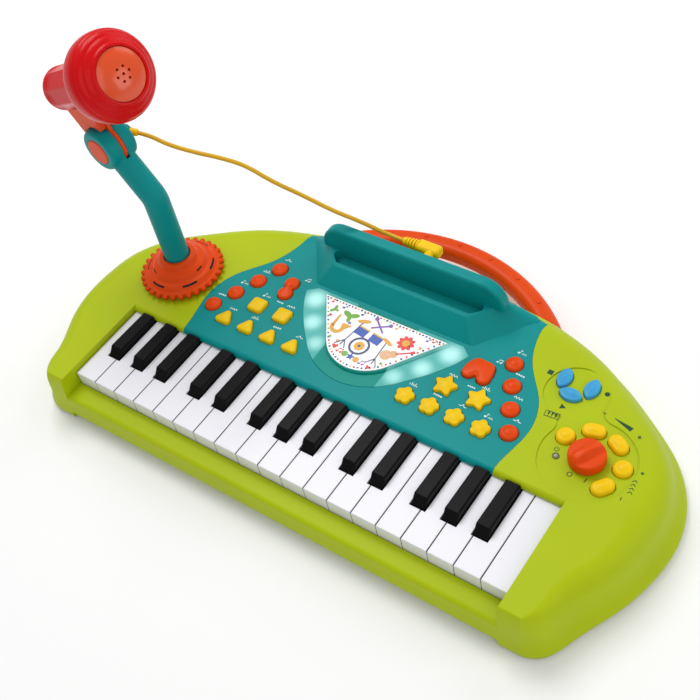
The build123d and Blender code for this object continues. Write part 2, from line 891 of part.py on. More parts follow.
with BuildPart() as key_contact_strip:
    add(slab(-167, 167, front + 44, front + 54, 14.0, 15.2))
    with Locations((0, front + 49, 15.2)):
        with GridLocations(10.6, 0, 31, 1):
            Cone(3.2, 1.6, 2.4, align=(Align.CENTER, Align.CENTER, Align.MIN))
write(key_contact_strip.part, "key_contact_strip")

with BuildPart() as case_screws:
    for x, y in screw_places:
        add(post(x, front + y, 1.2, 3.0, 19))
        add(post(x, front + y, 2.6, base + 0.2, 3.0))
write(case_screws.part, "case_screws")

foot_places = [(0, 0), (185, front + 30), (-185, front + 30), (150, front + 158), (-150, front + 158)]
with BuildPart() as rubber_feet:
    for x, y in foot_places:
        with BuildSketch():
            with Locations((x, y)):
                Circle(8)
        extrude(amount=base)
write(rubber_feet.part, "rubber_feet")

# ---------------------------------------------------------------------------
# Carry handle
# ---------------------------------------------------------------------------
handle_solid = handle_bar(0)
bump_step = 27.0 / handle_r
with BuildPart() as carry_handle:
    add(handle_solid)
    for number in range(-3, 4):
        angle = math.pi / 2 + number * bump_step
        x = (handle_r + 1.5) * math.cos(angle)
        y = handle_centre_y + (handle_r + 1.5) * math.sin(angle)
        add(post(x, y, 1.5, handle_z, handle_z + handle_height / 2 + 0.6))
write(carry_handle.part, "carry_handle")

# ---------------------------------------------------------------------------
# Gear-shaped collar that the microphone stand turns in
# ---------------------------------------------------------------------------
tooth_count = 31
tooth_tip_r = 30.8
tooth_root_r = 28.0

with BuildPart() as mic_collar:
    with BuildSketch(Plane.XZ.offset(-collar_y)):
        with BuildLine():
            Polyline(
                (collar_x + arm_foot_r + running, 34),
                (collar_x + collar_hole_r - 0.2, 34),
                (collar_x + collar_hole_r - 0.2, panel_top),
                (collar_x + 26.5, panel_top),
                (collar_x + 26.5, 41),
                (collar_x + tooth_root_r, 41),
                (collar_x + tooth_root_r, 44.5),
                (collar_x + 25.6, 44.5),
                (collar_x + 24.6, 47.0),
                (collar_x + 22.6, 48.4),
                (collar_x + 20.4, 48.4),
                (collar_x + 19.6, 51.0),
                (collar_x + 17.2, 53.2),
                (collar_x + 15.0, 53.6),
                (collar_x + 13.9, 57.0),
                (collar_x + 12.6, 58.4),
                (collar_x + arm_r + 0.5, 58.4),
                (collar_x + arm_r + 0.5, arm_foot_z - 0.3),
                (collar_x + arm_foot_r + running, arm_foot_z - 0.3),
                close=True,
            )
        make_face()
    revolve(axis=Axis((collar_x, collar_y, 0), (0, 0, 1)))
    with BuildSketch(Plane.XY.offset(41.4)):
        with Locations((collar_x, collar_y)):
            with PolarLocations(tooth_root_r - 0.3, tooth_count):
                Polygon((0, -1.9), (tooth_tip_r - tooth_root_r + 0.3, -0.9),
                        (tooth_tip_r - tooth_root_r + 0.3, 0.9), (0, 1.9), align=None)
    extrude(amount=2.7)
    with BuildSketch(Plane.XY.offset(47.4)):
        with Locations((collar_x, collar_y)):
            with PolarLocations(23.4, 6):
                Rectangle(1.5, 9)
    extrude(amount=5, mode=Mode.SUBTRACT)
write(mic_collar.part, "mic_collar")

# ---------------------------------------------------------------------------
# Microphone stand: two half shells of a bent tube with a forked knuckle
# ---------------------------------------------------------------------------
turn = math.radians(stand_turn)
out = Vector(math.cos(turn), -math.sin(turn), 0)  # the way the microphone faces, in plan
pin_way = Vector(math.sin(turn), math.cos(turn), 0)  # along the tilt pin, to the rear
up = Vector(0, 0, 1)
stand_foot = Vector(collar_x, collar_y, 0)
stand_plane = Plane(stand_foot, x_dir=out, z_dir=pin_way * -1)
pivot = stand_foot - out * pivot_back + up * pivot_z

with BuildLine(stand_plane) as arm_path:
    FilletPolyline((0, arm_foot_z), (0, bend_z), (-pivot_back, pivot_z), radius=13)
with BuildLine(stand_plane) as arm_bore_path:
    FilletPolyline(
        (0, arm_foot_z + 4),
        (0, bend_z),
        (-pivot_back * 0.5, bend_z + (pivot_z - bend_z) * 0.5),
        radius=13,
    )

with BuildPart() as arm_tube:
    with BuildSketch(Plane(arm_path.line @ 0, x_dir=out, z_dir=arm_path.line % 0)):
        Circle(arm_r)
    sweep(path=arm_path.line)

with BuildPart() as arm_bore:
    with BuildSketch(Plane(arm_bore_path.line @ 0, x_dir=out, z_dir=arm_bore_path.line % 0)):
        Circle(arm_bore_r)
    sweep(path=arm_bore_path.line)

with BuildPart() as stand_whole:
    add(arm_tube.part)
    with BuildSketch(stand_plane.offset(-ear_half)):
        with Locations((-pivot_back, pivot_z)):
            Circle(ear_r)
    extrude(amount=2 * ear_half)
    ear_rims = stand_whole.edges().filter_by(GeomType.CIRCLE).filter_by(
        lambda e: abs(e.radius - ear_r) < 0.01 and abs(abs((e.arc_center - pivot).dot(pin_way)) - ear_half) < 0.01
    )
    fillet(ear_rims, 2.6)
    add(arm_bore.part, mode=Mode.SUBTRACT)
    with BuildSketch(Plane(stand_foot + up * 30, x_dir=out)):
        Circle(arm_foot_r)
    extrude(amount=arm_foot_z - 30)
    with BuildSketch(stand_plane.offset(-slot_half)):
        with Locations((-pivot_back, pivot_z)):
            Circle(17.5)
    extrude(amount=2 * slot_half, mode=Mode.SUBTRACT)
    with BuildSketch(stand_plane.offset(-ear_half - 5)):
        with Locations((-pivot_back, pivot_z)):
            Circle(pin_r)
    extrude(amount=2 * ear_half + 10, mode=Mode.SUBTRACT)
    for offset_now, way in ((ear_half - 1.4, 5), (-ear_half + 1.4, -5)):
        with BuildSketch(stand_plane.offset(offset_now)):
            with Locations((-pivot_back, pivot_z)):
                Circle(cap_r)
        extrude(amount=way, mode=Mode.SUBTRACT)

with BuildPart() as stand_arm_front:
    add(stand_whole.part)
    split(bisect_by=stand_plane, keep=Keep.TOP)
with BuildPart() as stand_arm_rear:
    add(stand_whole.part)
    split(bisect_by=stand_plane, keep=Keep.BOTTOM)
write(stand_arm_front.part, "stand_arm_front")
write(stand_arm_rear.part, "stand_arm_rear")

# ---------------------------------------------------------------------------
# Tilt pin, with a cap at each end and the cord's gland on the rear cap
# ---------------------------------------------------------------------------
gland_reach = 8.0
pivot_plane = Plane(pivot, x_dir=out, z_dir=pin_way * -1)
gland_middle = pivot + pin_way * (ear_half + 3.2)
gland_way = Vector(0.922, 0.337, -0.19).normalized()
cord_exit = gland_middle + gland_way * gland_reach

with BuildPart() as tilt_pin:
    with BuildSketch(pivot_plane.offset(-ear_half + 1.4)):
        Circle(pin_r)
    extrude(amount=2 * ear_half - 2.8)
    with BuildSketch(pivot_plane.offset(ear_half - 1.4)):
        Circle(cap_r - 0.15)
    extrude(amount=2.0)
    fillet(tilt_pin.edges().filter_by(GeomType.CIRCLE).sort_by(Axis.Y)[0], 0.9)
    with BuildSketch(pivot_plane.offset(-ear_half + 1.4)):
        Circle(cap_r - 0.15)
    extrude(amount=-2.0)
    with BuildSketch(pivot_plane.offset(-ear_half - 0.6)):
        Circle(3.6)
    extrude(amount=-5.2)
    with BuildSketch(Plane(gland_middle, z_dir=gland_way)):
        Circle(2.9)
    extrude(amount=gland_reach, taper=5)
write(tilt_pin.part, "tilt_pin")

# ---------------------------------------------------------------------------
# Microphone: bell and handle in one shell, front disc, capsule and bracket
# ---------------------------------------------------------------------------
tilt = math.radians(mic_tilt)
aim = out * math.cos(tilt) + up * math.sin(tilt)
lift = up * math.cos(tilt) - out * math.sin(tilt)
mic_front = pivot + aim * mic_forward + lift * mic_rise
mic_plane = Plane(mic_front, x_dir=aim * -1, z_dir=pin_way)
mic_axis = Axis(mic_front, aim)
tilt_plane = Plane(pivot, x_dir=aim, z_dir=pin_way * -1)

bell_outside = [
    (0.2, grille_r + 0.3),
    (0.0, 18.6),
    (1.6, 20.4),
    (2.8, 23.6),
    (4.4, 24.6),
    (6.0, 27.2),
    (8.6, bell_r - 0.7),
    (12.0, bell_r),
    (20.0, bell_r),
    (23.0, bell_r - 0.9),
    (24.0, 26.2),
    (27.5, 25.8),
    (28.5, 23.2),
    (32.0, 22.6),
    (33.0, 20.0),
    (37.0, 18.6),
    (42.0, 15.8),
]
handle_tail_s = 92.5
handle_tail_r = 14.6

with BuildPart() as mic_solid:
    with BuildSketch(mic_plane):
        with BuildLine():
            Polyline(*bell_outside)
            Line(bell_outside[-1], (handle_tail_s - 7, handle_tail_r))
            ThreePointArc(
                (handle_tail_s - 7, handle_tail_r),
                (handle_tail_s - 2.0, handle_tail_r - 3.6),
                (handle_tail_s, 6.5),
            )
            Polyline((handle_tail_s, 6.5), (handle_tail_s, 0), (0.2, 0), bell_outside[0])
        make_face()
    revolve(axis=mic_axis)

with BuildPart() as mic_shell:
    add(mic_solid.part)
    with BuildSketch(mic_plane):
        with BuildLine():
            Polyline(
                (-1, 0),
                (-1, grille_r),
                (3.5, grille_r),
                (5.5, 21.0),
                (11.0, bell_r - 2.6),
                (21.0, bell_r - 2.6),
                (26.0, 21.0),
                (39.0, 14.0),
                (46.0, 12.8),
                (handle_tail_s - 8, 12.0),
                (handle_tail_s - 3, 0),
                close=True,
            )
        make_face()
    revolve(axis=mic_axis, mode=Mode.SUBTRACT)
write(mic_shell.part, "mic_shell")

with BuildPart() as mic_grille:
    with BuildSketch(mic_plane):
        with BuildLine():
            Line((0, 0), (-2.4, 0))
            ThreePointArc((-2.4, 0), (-1.6, 10), (0.6, grille_r - 0.1))
            Polyline((0.6, grille_r - 0.1), (3.2, grille_r - 0.1), (3.2, 0), (0, 0))
        make_face()
    revolve(axis=mic_axis)
    with BuildSketch(Plane(mic_front - aim * 5, x_dir=pin_way, z_dir=aim)):
        Circle(0.9)
        with PolarLocations(4.6, 6):
            Circle(0.9)
    extrude(amount=10, mode=Mode.SUBTRACT)
write(mic_grille.part, "mic_grille")

with BuildPart() as mic_capsule:
    with BuildSketch(Plane(mic_front - aim * 9.2, x_dir=pin_way, z_dir=aim)):
        Circle(6.5)
    extrude(amount=6)
write(mic_capsule.part, "mic_capsule")

with BuildPart() as mic_bracket:
    with BuildSketch(tilt_plane.offset(-1.3)):
        Circle(11)
        Polygon((-11, 0), (11, 0), (17, 33), (-15, 33), align=None)
    extrude(amount=2.6)
    with BuildSketch(tilt_plane.offset(-6.5)):
        Polygon((-10.5, 12), (11.5, 12), (17, 34), (-15, 34), align=None)
        Circle(16.4, mode=Mode.SUBTRACT)
    extrude(amount=13)
    with BuildSketch(tilt_plane.offset(-5)):
        Circle(pin_r + running)
    extrude(amount=10, mode=Mode.SUBTRACT)
    add(mic_solid.part, mode=Mode.SUBTRACT)
write(mic_bracket.part, "mic_bracket")

# ---------------------------------------------------------------------------
# Cord from the pin's gland to the plug behind the music rest
# ---------------------------------------------------------------------------
plug_start = (-14.5, plug_y, plug_z)
cord_points = [
    tuple(cord_exit),
    tuple(cord_exit + gland_way * 8.0),
    (-162.0, front + 133.9, 137.0),
    (-147.0, front + 139.6, 131.6),
    (-128.0, front + 146.9, 127.0),
    (-113.0, front + 152.6, 121.2),
    (-98.0, front + 158.4, 107.6),
    (-80.0, front + 165.2, 96.6),
    (-62.0, front + 172.1, 83.4),
    (-45.0, front + 179.0, 74.2),
    (plug_start[0] - 14.0, plug_y, plug_z),
    plug_start,
]


def corner_radii(points):
    """As large an arc at each corner of the route as its two runs allow."""
    radii = []
    for before, corner, after in zip(points[:-2], points[1:-1], points[2:]):
        first = Vector(*corner) - Vector(*before)
        second = Vector(*after) - Vector(*corner)
        half_turn = math.radians(first.get_angle(second)) / 2
        shorter = min(first.length, second.length)
        radii.append(0.45 * shorter / math.tan(half_turn))
    return radii


cord_radii = corner_radii(cord_points)
with BuildLine() as cord_path:
    cord_line = FilletPolyline(*cord_points, radius=cord_radii)
with BuildPart() as mic_cord:
    with BuildSketch(Plane(cord_line @ 0, z_dir=cord_line % 0)):
        Circle(cord_r)
    sweep(path=cord_line)
write(mic_cord.part, "mic_cord")

cord_length = cord_line.length
runs = [(Vector(*b) - Vector(*a)).length for a, b in zip(cord_points[:-1], cord_points[1:])]
print("cord radii", [round(radius, 1) for radius in cord_radii])
print("cord runs", [round(run, 1) for run in runs], "length", round(cord_length, 1))
print("cord volume over section times length", mic_cord.part.volume / (math.pi * cord_r**2 * cord_length))

# ---------------------------------------------------------------------------
# Right-angle plug with its ribbed strain relief
# ---------------------------------------------------------------------------
plug_pin_x = 9.0
relief_length = 13.0
rib_count = 5

with BuildPart() as cord_plug:
    with BuildSketch(Plane(plug_start, x_dir=(0, 0, 1), z_dir=(1, 0, 0))):
        Circle(2.4)
    extrude(amount=relief_length)
    for number in range(rib_count):
        with BuildSketch(Plane((plug_start[0] + 1.6 + 2.4 * number, plug_y, plug_z), z_dir=(1, 0, 0))):
            Circle(3.1 + 0.25 * number)
        extrude(amount=1.3)
    with BuildSketch(Plane((plug_start[0] + relief_length, plug_y, plug_z), x_dir=(0, 1, 0), z_dir=(1, 0, 0))):
        RectangleRounded(9.4, 8.2, 3.0)
    extrude(amount=16.5)
    nose = cord_plug.faces().sort_by(Axis.X)[-1].edges()
    fillet(nose, 2.4)
    with BuildSketch(Plane((plug_pin_x, plug_y, plug_z), x_dir=(1, 0, 0), z_dir=(0, -1, 0))):
        Circle(3.6)
    extrude(amount=plug_y - rest_rear_y)
    with BuildSketch(Plane((plug_pin_x, rest_rear_y, plug_z), x_dir=(1, 0, 0), z_dir=(0, -1, 0))):
        Circle(1.75)
    extrude(amount=6.5)
write(cord_plug.part, "cord_plug")
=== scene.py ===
import math

import bpy
from mathutils import Matrix, Vector


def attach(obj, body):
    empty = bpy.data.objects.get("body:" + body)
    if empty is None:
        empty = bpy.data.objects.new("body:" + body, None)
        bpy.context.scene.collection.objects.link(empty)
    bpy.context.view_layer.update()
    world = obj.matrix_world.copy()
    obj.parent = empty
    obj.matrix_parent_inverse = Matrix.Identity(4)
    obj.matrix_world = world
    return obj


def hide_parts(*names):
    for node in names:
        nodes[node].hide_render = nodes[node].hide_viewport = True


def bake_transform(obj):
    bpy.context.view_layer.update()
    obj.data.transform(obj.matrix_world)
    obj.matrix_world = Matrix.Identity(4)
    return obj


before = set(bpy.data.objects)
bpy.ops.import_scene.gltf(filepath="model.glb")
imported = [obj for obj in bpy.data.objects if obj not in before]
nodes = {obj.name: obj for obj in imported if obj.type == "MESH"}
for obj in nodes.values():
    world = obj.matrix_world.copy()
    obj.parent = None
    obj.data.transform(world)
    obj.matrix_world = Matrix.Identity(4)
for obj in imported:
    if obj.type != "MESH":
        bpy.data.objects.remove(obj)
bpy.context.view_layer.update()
MM = 0.001
FRONT = -90.0  # y of the white keys' front edge, in millimetres
PANEL_TOP = 39.0
scene = bpy.context.scene

# ---------------------------------------------------------------------------
# Camera and lights
# ---------------------------------------------------------------------------
camera = bpy.data.objects.new("camera", bpy.data.cameras.new("camera"))
camera.location = (0.3535, -0.3442, 0.6126)
camera.rotation_euler = [math.radians(angle) for angle in (40.618, 9.147, 34.857)]
camera.data.lens = 59.3
camera.data.sensor_width = 36.0
camera.data.clip_start = 0.01
scene.collection.objects.link(camera)
scene.camera = camera
scene.view_settings.view_transform = "Standard"


def lamp(name, place, aim, size, watts):
    """A soft square light that faces a point."""
    data = bpy.data.lights.new(name, "AREA")
    data.size = size
    data.energy = watts
    light = bpy.data.objects.new(name, data)
    light.location = place
    light.rotation_euler = (Vector(aim) - Vector(place)).to_track_quat("-Z", "Y").to_euler()
    scene.collection.objects.link(light)


lamp("key_light", (-0.55, 0.35, 1.25), (0, 0, 0.02), 0.7, 9.4)
lamp("fill_light", (0.9, -0.9, 1.1), (0, 0, 0.03), 1.3, 4.4)
lamp("side_light", (0.98, 0.24, 0.40), (-0.13, 0, 0.2), 0.46, 1.2)
lamp("rear_light", (0.2, 1.2, 0.9), (0, 0.05, 0.05), 0.8, 3.0)

world = bpy.data.worlds.new("studio")
scene.world = world
world.use_nodes = True
world.node_tree.nodes["Background"].inputs["Color"].default_value = (1.0, 1.0, 1.0, 1.0)
world.node_tree.nodes["Background"].inputs["Strength"].default_value = 0.5

# ---------------------------------------------------------------------------
# Materials: moulded plastics with a fine grain, uneven colour and soft gloss
# ---------------------------------------------------------------------------


def linear(red, green, blue):
    """An 8-bit screen colour as Blender's linear colour."""
    shares = []
    for value in (red, green, blue):
        share = value / 255
        shares.append(share / 12.92 if share <= 0.04045 else ((share + 0.055) / 1.055) ** 2.4)
    return (*shares, 1.0)


def node_of(material, kind):
    """A new shader node in a material."""
    return material.node_tree.nodes.new(kind)


def plastic(name, colour, rough=0.34, grain=0.05, grain_size=900.0, mottle=0.05, coat=0.08, shine=0.3):
    """Moulded plastic: slow shifts of shade, fine grain in the surface and a thin gloss."""
    material = bpy.data.materials.new(name)
    material.use_nodes = True
    links = material.node_tree.links
    shader = material.node_tree.nodes["Principled BSDF"]
    where = node_of(material, "ShaderNodeTexCoord")
    slow = node_of(material, "ShaderNodeTexNoise")
    slow.inputs["Scale"].default_value = 22.0
    slow.inputs["Detail"].default_value = 3.0
    links.new(where.outputs["Object"], slow.inputs["Vector"])
    shade = node_of(material, "ShaderNodeValToRGB")
    base = linear(*colour)
    dark = [channel * (1 - mottle) for channel in base[:3]]
    light = [min(1.0, channel * (1 + mottle)) for channel in base[:3]]
    shade.color_ramp.elements[0].position = 0.3
    shade.color_ramp.elements[0].color = (*dark, 1.0)
    shade.color_ramp.elements[1].position = 0.7
    shade.color_ramp.elements[1].color = (*light, 1.0)
    links.new(slow.outputs["Fac"], shade.inputs["Fac"])
    links.new(shade.outputs["Color"], shader.inputs["Base Color"])
    fine = node_of(material, "ShaderNodeTexNoise")
    fine.inputs["Scale"].default_value = grain_size
    fine.inputs["Detail"].default_value = 2.0
    links.new(where.outputs["Object"], fine.inputs["Vector"])
    bump = node_of(material, "ShaderNodeBump")
    bump.inputs["Strength"].default_value = grain
    bump.inputs["Distance"].default_value = 0.0003
    links.new(fine.outputs["Fac"], bump.inputs["Height"])
    links.new(bump.outputs["Normal"], shader.inputs["Normal"])
    gloss = node_of(material, "ShaderNodeMapRange")
    gloss.inputs["To Min"].default_value = rough - 0.05
    gloss.inputs["To Max"].default_value = rough + 0.07
    links.new(slow.outputs["Fac"], gloss.inputs["Value"])
    links.new(gloss.outputs["Result"], shader.inputs["Roughness"])
    shader.inputs["Specular IOR Level"].default_value = shine
    shader.inputs["Coat Weight"].default_value = coat
    shader.inputs["Coat Roughness"].default_value = 0.15
    return material


green = plastic("green_shell", (172, 190, 6), rough=0.45, grain=0.06, mottle=0.03, coat=0.0, shine=0.16)
teal = plastic("teal_panel", (2, 140, 140), rough=0.42, grain=0.06, mottle=0.03, coat=0.0, shine=0.14)
orange = plastic("orange_plastic", (224, 71, 7), rough=0.34, grain=0.04, coat=0.0, shine=0.14)
grille_orange = plastic("grille_orange", (226, 74, 12), rough=0.2, grain=0.0, mottle=0.02, coat=0.7)
mic_red = plastic("mic_red", (206, 8, 14), rough=0.26, grain=0.02, coat=0.06, shine=0.12)
yellow = plastic("yellow_plastic", (238, 196, 4), rough=0.38, grain=0.04, coat=0.0, shine=0.18)
blue = plastic("blue_plastic", (62, 160, 212), rough=0.36, grain=0.04, coat=0.03, shine=0.25)
key_white = plastic("white_key", (232, 232, 238), rough=0.3, grain=0.03, mottle=0.01)


def shade_sides(material, darkness):
    """Darkens the faces that look sideways, where neighbouring keys shade one another."""
    links = material.node_tree.links
    shader = material.node_tree.nodes["Principled BSDF"]
    colour = shader.inputs["Base Color"].links[0].from_socket
    surface = node_of(material, "ShaderNodeNewGeometry")
    split = node_of(material, "ShaderNodeSeparateXYZ")
    links.new(surface.outputs["Normal"], split.inputs["Vector"])
    sideways = node_of(material, "ShaderNodeMath")
    sideways.operation = "ABSOLUTE"
    links.new(split.outputs["X"], sideways.inputs[0])
    share = node_of(material, "ShaderNodeMapRange")
    share.inputs["From Min"].default_value = 0.4
    share.inputs["From Max"].default_value = 0.9
    share.inputs["To Min"].default_value = 1.0
    share.inputs["To Max"].default_value = darkness
    links.new(sideways.outputs["Value"], share.inputs["Value"])
    scaled = node_of(material, "ShaderNodeVectorMath")
    scaled.operation = "SCALE"
    links.new(colour, scaled.inputs["Vector"])
    links.new(share.outputs["Result"], scaled.inputs["Scale"])
    links.new(scaled.outputs["Vector"], shader.inputs["Base Color"])


shade_sides(key_white, 0.3)
key_black = plastic("black_key", (9, 9, 10), rough=0.36, grain=0.03, mottle=0.2, coat=0.0, shine=0.09)
tray_white = plastic("tray_white", (232, 234, 230), rough=0.5, grain=0.2, mottle=0.02, coat=0.0)
rubber = plastic("rubber", (30, 30, 31), rough=0.75, grain=0.3, mottle=0.1, coat=0.0)
cord_skin = plastic("cord_pvc", (214, 164, 12), rough=0.42, grain=0.05, mottle=0.08)
print_white = plastic("print_white", (214, 232, 230), rough=0.55, grain=0.0, mottle=0.05, coat=0.0)
print_dark = plastic("print_dark", (26, 72, 44), rough=0.55, grain=0.0, mottle=0.05, coat=0.0)
# Dark colour for the painted shade in the collar's slots, and for the stand's seam line
slot_shade_and_seam_dark = plastic("slot_shade_and_seam_dark", (12, 30, 32), rough=0.7, grain=0.1, mottle=0.1, coat=0.0)
card_paper = plastic("card_paper", (250, 251, 251), rough=0.35, grain=0.03, mottle=0.01, coat=0.3)


LAMP_SPOTS = (  # x and y of each lamp in the lens, its reach and its power
    (55.0, 129.0, 13.0, 0.6),
    (44.5, 110.5, 11.0, 0.5),
    (31.5, 96.0, 10.0, 0.42),
    (45.0, 112.0, 34.0, 0.05),
)
LENS_SEAM = 24.5  # half width of the unlit middle of the lens


def lens_plastic(name):
    """Translucent mint plastic lit from inside by small lamps in its two wings."""
    material = plastic(name, (120, 200, 192), rough=0.3, grain=0.02, mottle=0.08, coat=0.0, shine=0.1)
    links = material.node_tree.links
    shader = material.node_tree.nodes["Principled BSDF"]
    where = node_of(material, "ShaderNodeTexCoord")
    parts = node_of(material, "ShaderNodeSeparateXYZ")
    links.new(where.outputs["Object"], parts.inputs["Vector"])
    mirrored = node_of(material, "ShaderNodeMath")
    mirrored.operation = "ABSOLUTE"
    links.new(parts.outputs["X"], mirrored.inputs[0])
    folded = node_of(material, "ShaderNodeCombineXYZ")
    links.new(mirrored.outputs["Value"], folded.inputs["X"])
    links.new(parts.outputs["Y"], folded.inputs["Y"])
    total = None
    for x, y, reach, power in LAMP_SPOTS:
        away = node_of(material, "ShaderNodeVectorMath")
        away.operation = "DISTANCE"
        away.inputs[1].default_value = (x * MM, (FRONT + y) * MM, 0.0)
        links.new(folded.outputs["Vector"], away.inputs[0])
        near = node_of(material, "ShaderNodeMapRange")
        near.interpolation_type = "SMOOTHERSTEP"
        near.inputs["From Min"].default_value = 0.0
        near.inputs["From Max"].default_value = reach * MM
        near.inputs["To Min"].default_value = power
        near.inputs["To Max"].default_value = 0.0
        links.new(away.outputs["Value"], near.inputs["Value"])
        if total is None:
            total = near.outputs["Result"]
        else:
            added = node_of(material, "ShaderNodeMath")
            added.operation = "ADD"
            links.new(total, added.inputs[0])
            links.new(near.outputs["Result"], added.inputs[1])
            total = added.outputs["Value"]
    wing = node_of(material, "ShaderNodeMapRange")
    wing.inputs["From Min"].default_value = LENS_SEAM * MM
    wing.inputs["From Max"].default_value = (LENS_SEAM + 0.8) * MM
    links.new(mirrored.outputs["Value"], wing.inputs["Value"])
    lit = node_of(material, "ShaderNodeMath")
    lit.operation = "MULTIPLY"
    links.new(total, lit.inputs[0])
    links.new(wing.outputs["Result"], lit.inputs[1])
    links.new(lit.outputs["Value"], shader.inputs["Emission Strength"])
    shader.inputs["Emission Color"].default_value = linear(222, 244, 243)
    tint = node_of(material, "ShaderNodeValToRGB")
    tint.color_ramp.elements[0].color = linear(16, 143, 131)
    tint.color_ramp.elements[1].color = linear(82, 178, 172)
    links.new(wing.outputs["Result"], tint.inputs["Fac"])
    links.new(tint.outputs["Color"], shader.inputs["Base Color"])
    return material


lens_mint = lens_plastic("mint_lens")
led_rim = plastic("led_rim", (96, 112, 40), rough=0.4, grain=0.03, coat=0.1)
led_clear = plastic("led_clear", (152, 150, 124), rough=0.12, grain=0.0, mottle=0.1, coat=0.8)

painted = {
    "upper_case": green,
    "lower_case": tray_white,
    "battery_door": tray_white,
    "console_panel": teal,
    "picture_card": card_paper,
    "carry_handle": orange,
    "mic_collar": orange,
    "key_hinge_rod": rubber,
    "key_contact_strip": rubber,
    "circuit_board": green,
    "speaker": rubber,
    "case_screws": rubber,
    "rubber_feet": rubber,
    "mic_cord": cord_skin,
    "cord_plug": yellow,
    "stand_arm_front": teal,
    "stand_arm_rear": teal,
    "tilt_pin": orange,
    "mic_shell": mic_red,
    "mic_grille": grille_orange,
    "mic_bracket": orange,
    "mic_capsule": rubber,
    "power_knob": orange,
    "orange_buttons": orange,
    "yellow_buttons": yellow,
    "blue_buttons": blue,
    "level_buttons": yellow,
    "light_lens": lens_mint,
}
for name, cad_node in nodes.items():
    if name.startswith("white_key"):
        material = key_white
    elif name.startswith("black_key"):
        material = key_black
    else:
        material = painted[name]
    cad_node.data.materials.clear()
    cad_node.data.materials.append(material)


# ---------------------------------------------------------------------------
# Pieces from points in millimetres
# ---------------------------------------------------------------------------
def mesh_piece(name, points, faces, material, body, smooth=True):
    """A mesh object from points in millimetres, riding on a body."""
    mesh = bpy.data.meshes.new(name)
    mesh.from_pydata([Vector(point) * MM for point in points], [], faces)
    mesh.materials.append(material)
    for face in mesh.polygons:
        face.use_smooth = smooth
    piece = bpy.data.objects.new(name, mesh)
    scene.collection.objects.link(piece)
    if body:
        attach(piece, body)
    return piece


# ---------------------------------------------------------------------------
# Outlines, in millimetres
# ---------------------------------------------------------------------------


def rounded(corners, radius, steps=6):
    """A closed outline with every corner rounded to one radius."""
    points = []
    for index, place in enumerate(corners):
        corner = Vector(place)
        to_before = (Vector(corners[index - 1]) - corner).normalized()
        to_after = (Vector(corners[(index + 1) % len(corners)]) - corner).normalized()
        half = to_before.angle(to_after) / 2
        centre = corner + (to_before + to_after).normalized() * radius / math.sin(half)
        start = corner + to_before * radius / math.tan(half) - centre
        end = corner + to_after * radius / math.tan(half) - centre
        first = math.atan2(start.y, start.x)
        sweep = math.atan2(end.y, end.x) - first
        sweep = (sweep + math.pi) % (2 * math.pi) - math.pi
        for step in range(steps + 1):
            angle = first + sweep * step / steps
            points.append(centre + Vector((math.cos(angle), math.sin(angle))) * radius)
    return points


def polar(reach, count=72):
    """A closed outline from its distance from the middle in each direction."""
    points = []
    for step in range(count):
        angle = 2 * math.pi * step / count
        way = Vector((math.cos(angle), math.sin(angle)))
        points.append(way * reach(angle, way))
    return points


def far_side(circle, way):
    """Where a line from the middle leaves a circle, or 0 if it misses."""
    middle = Vector(circle[:2])
    along = middle.dot(way)
    square = circle[2] ** 2 - (middle.length_squared - along**2)
    return along + math.sqrt(square) if square > 0 else 0.0


def softened(points, times):
    """An outline with its creases eased by averaging neighbours."""
    for _ in range(times):
        points = [
            (points[index - 1] + points[index] * 2 + points[(index + 1) % len(points)]) / 4
            for index in range(len(points))
        ]
    return points


def joined_circles(circles, ease):
    """The outline round several circles, as far as each reaches from the middle."""
    return softened(polar(lambda angle, way: max(far_side(c, way) for c in circles)), ease)


def crossed_circles(circles, ease):
    """The outline of what several circles share."""
    return softened(polar(lambda angle, way: min(far_side(c, way) for c in circles)), ease)


def chain(corners, radius, steps=8):
    """Circles strung along a closed row of points."""
    circles = []
    for index, corner in enumerate(corners):
        after = corners[(index + 1) % len(corners)]
        for step in range(steps):
            share = step / steps
            x = corner[0] + (after[0] - corner[0]) * share
            y = corner[1] + (after[1] - corner[1]) * share
            circles.append((x, y, radius))
    return circles


def regular(count, radius, turn=90.0):
    """The corners of a regular polygon."""
    return [
        (radius * math.cos(math.radians(turn + 360 * k / count)),
         radius * math.sin(math.radians(turn + 360 * k / count)))
        for k in range(count)
    ]


def star_corners(outer, inner, count=5):
    """The corners of a star, its first tip upwards."""
    corners = []
    for k in range(2 * count):
        radius = outer if k % 2 == 0 else inner
        angle = math.radians(90 + 180 * k / count)
        corners.append((radius * math.cos(angle), radius * math.sin(angle)))
    return corners


def disc(radius, count=48):
    """A circle's outline."""
    return polar(lambda angle, way: radius, count)


def turned(points, x, y, degrees):
    """An outline turned and moved to its place."""
    spin = Matrix.Rotation(math.radians(degrees), 2)
    return [spin @ Vector(point) + Vector((x, y)) for point in points]


LEVEL_RING = 21.3  # radius of the ring of level buttons round the knob
BEAN_HALF = 4.9
BEAN_SWING = 6.7  # degrees round the knob, either side of the bean's middle


def arc_points(centre, radius, first, last, steps=12):
    """Points along an arc, both ends included, its angles in radians."""
    points = []
    for step in range(steps + 1):
        angle = first + (last - first) * step / steps
        points.append(centre + Vector((math.cos(angle), math.sin(angle))) * radius)
    return points


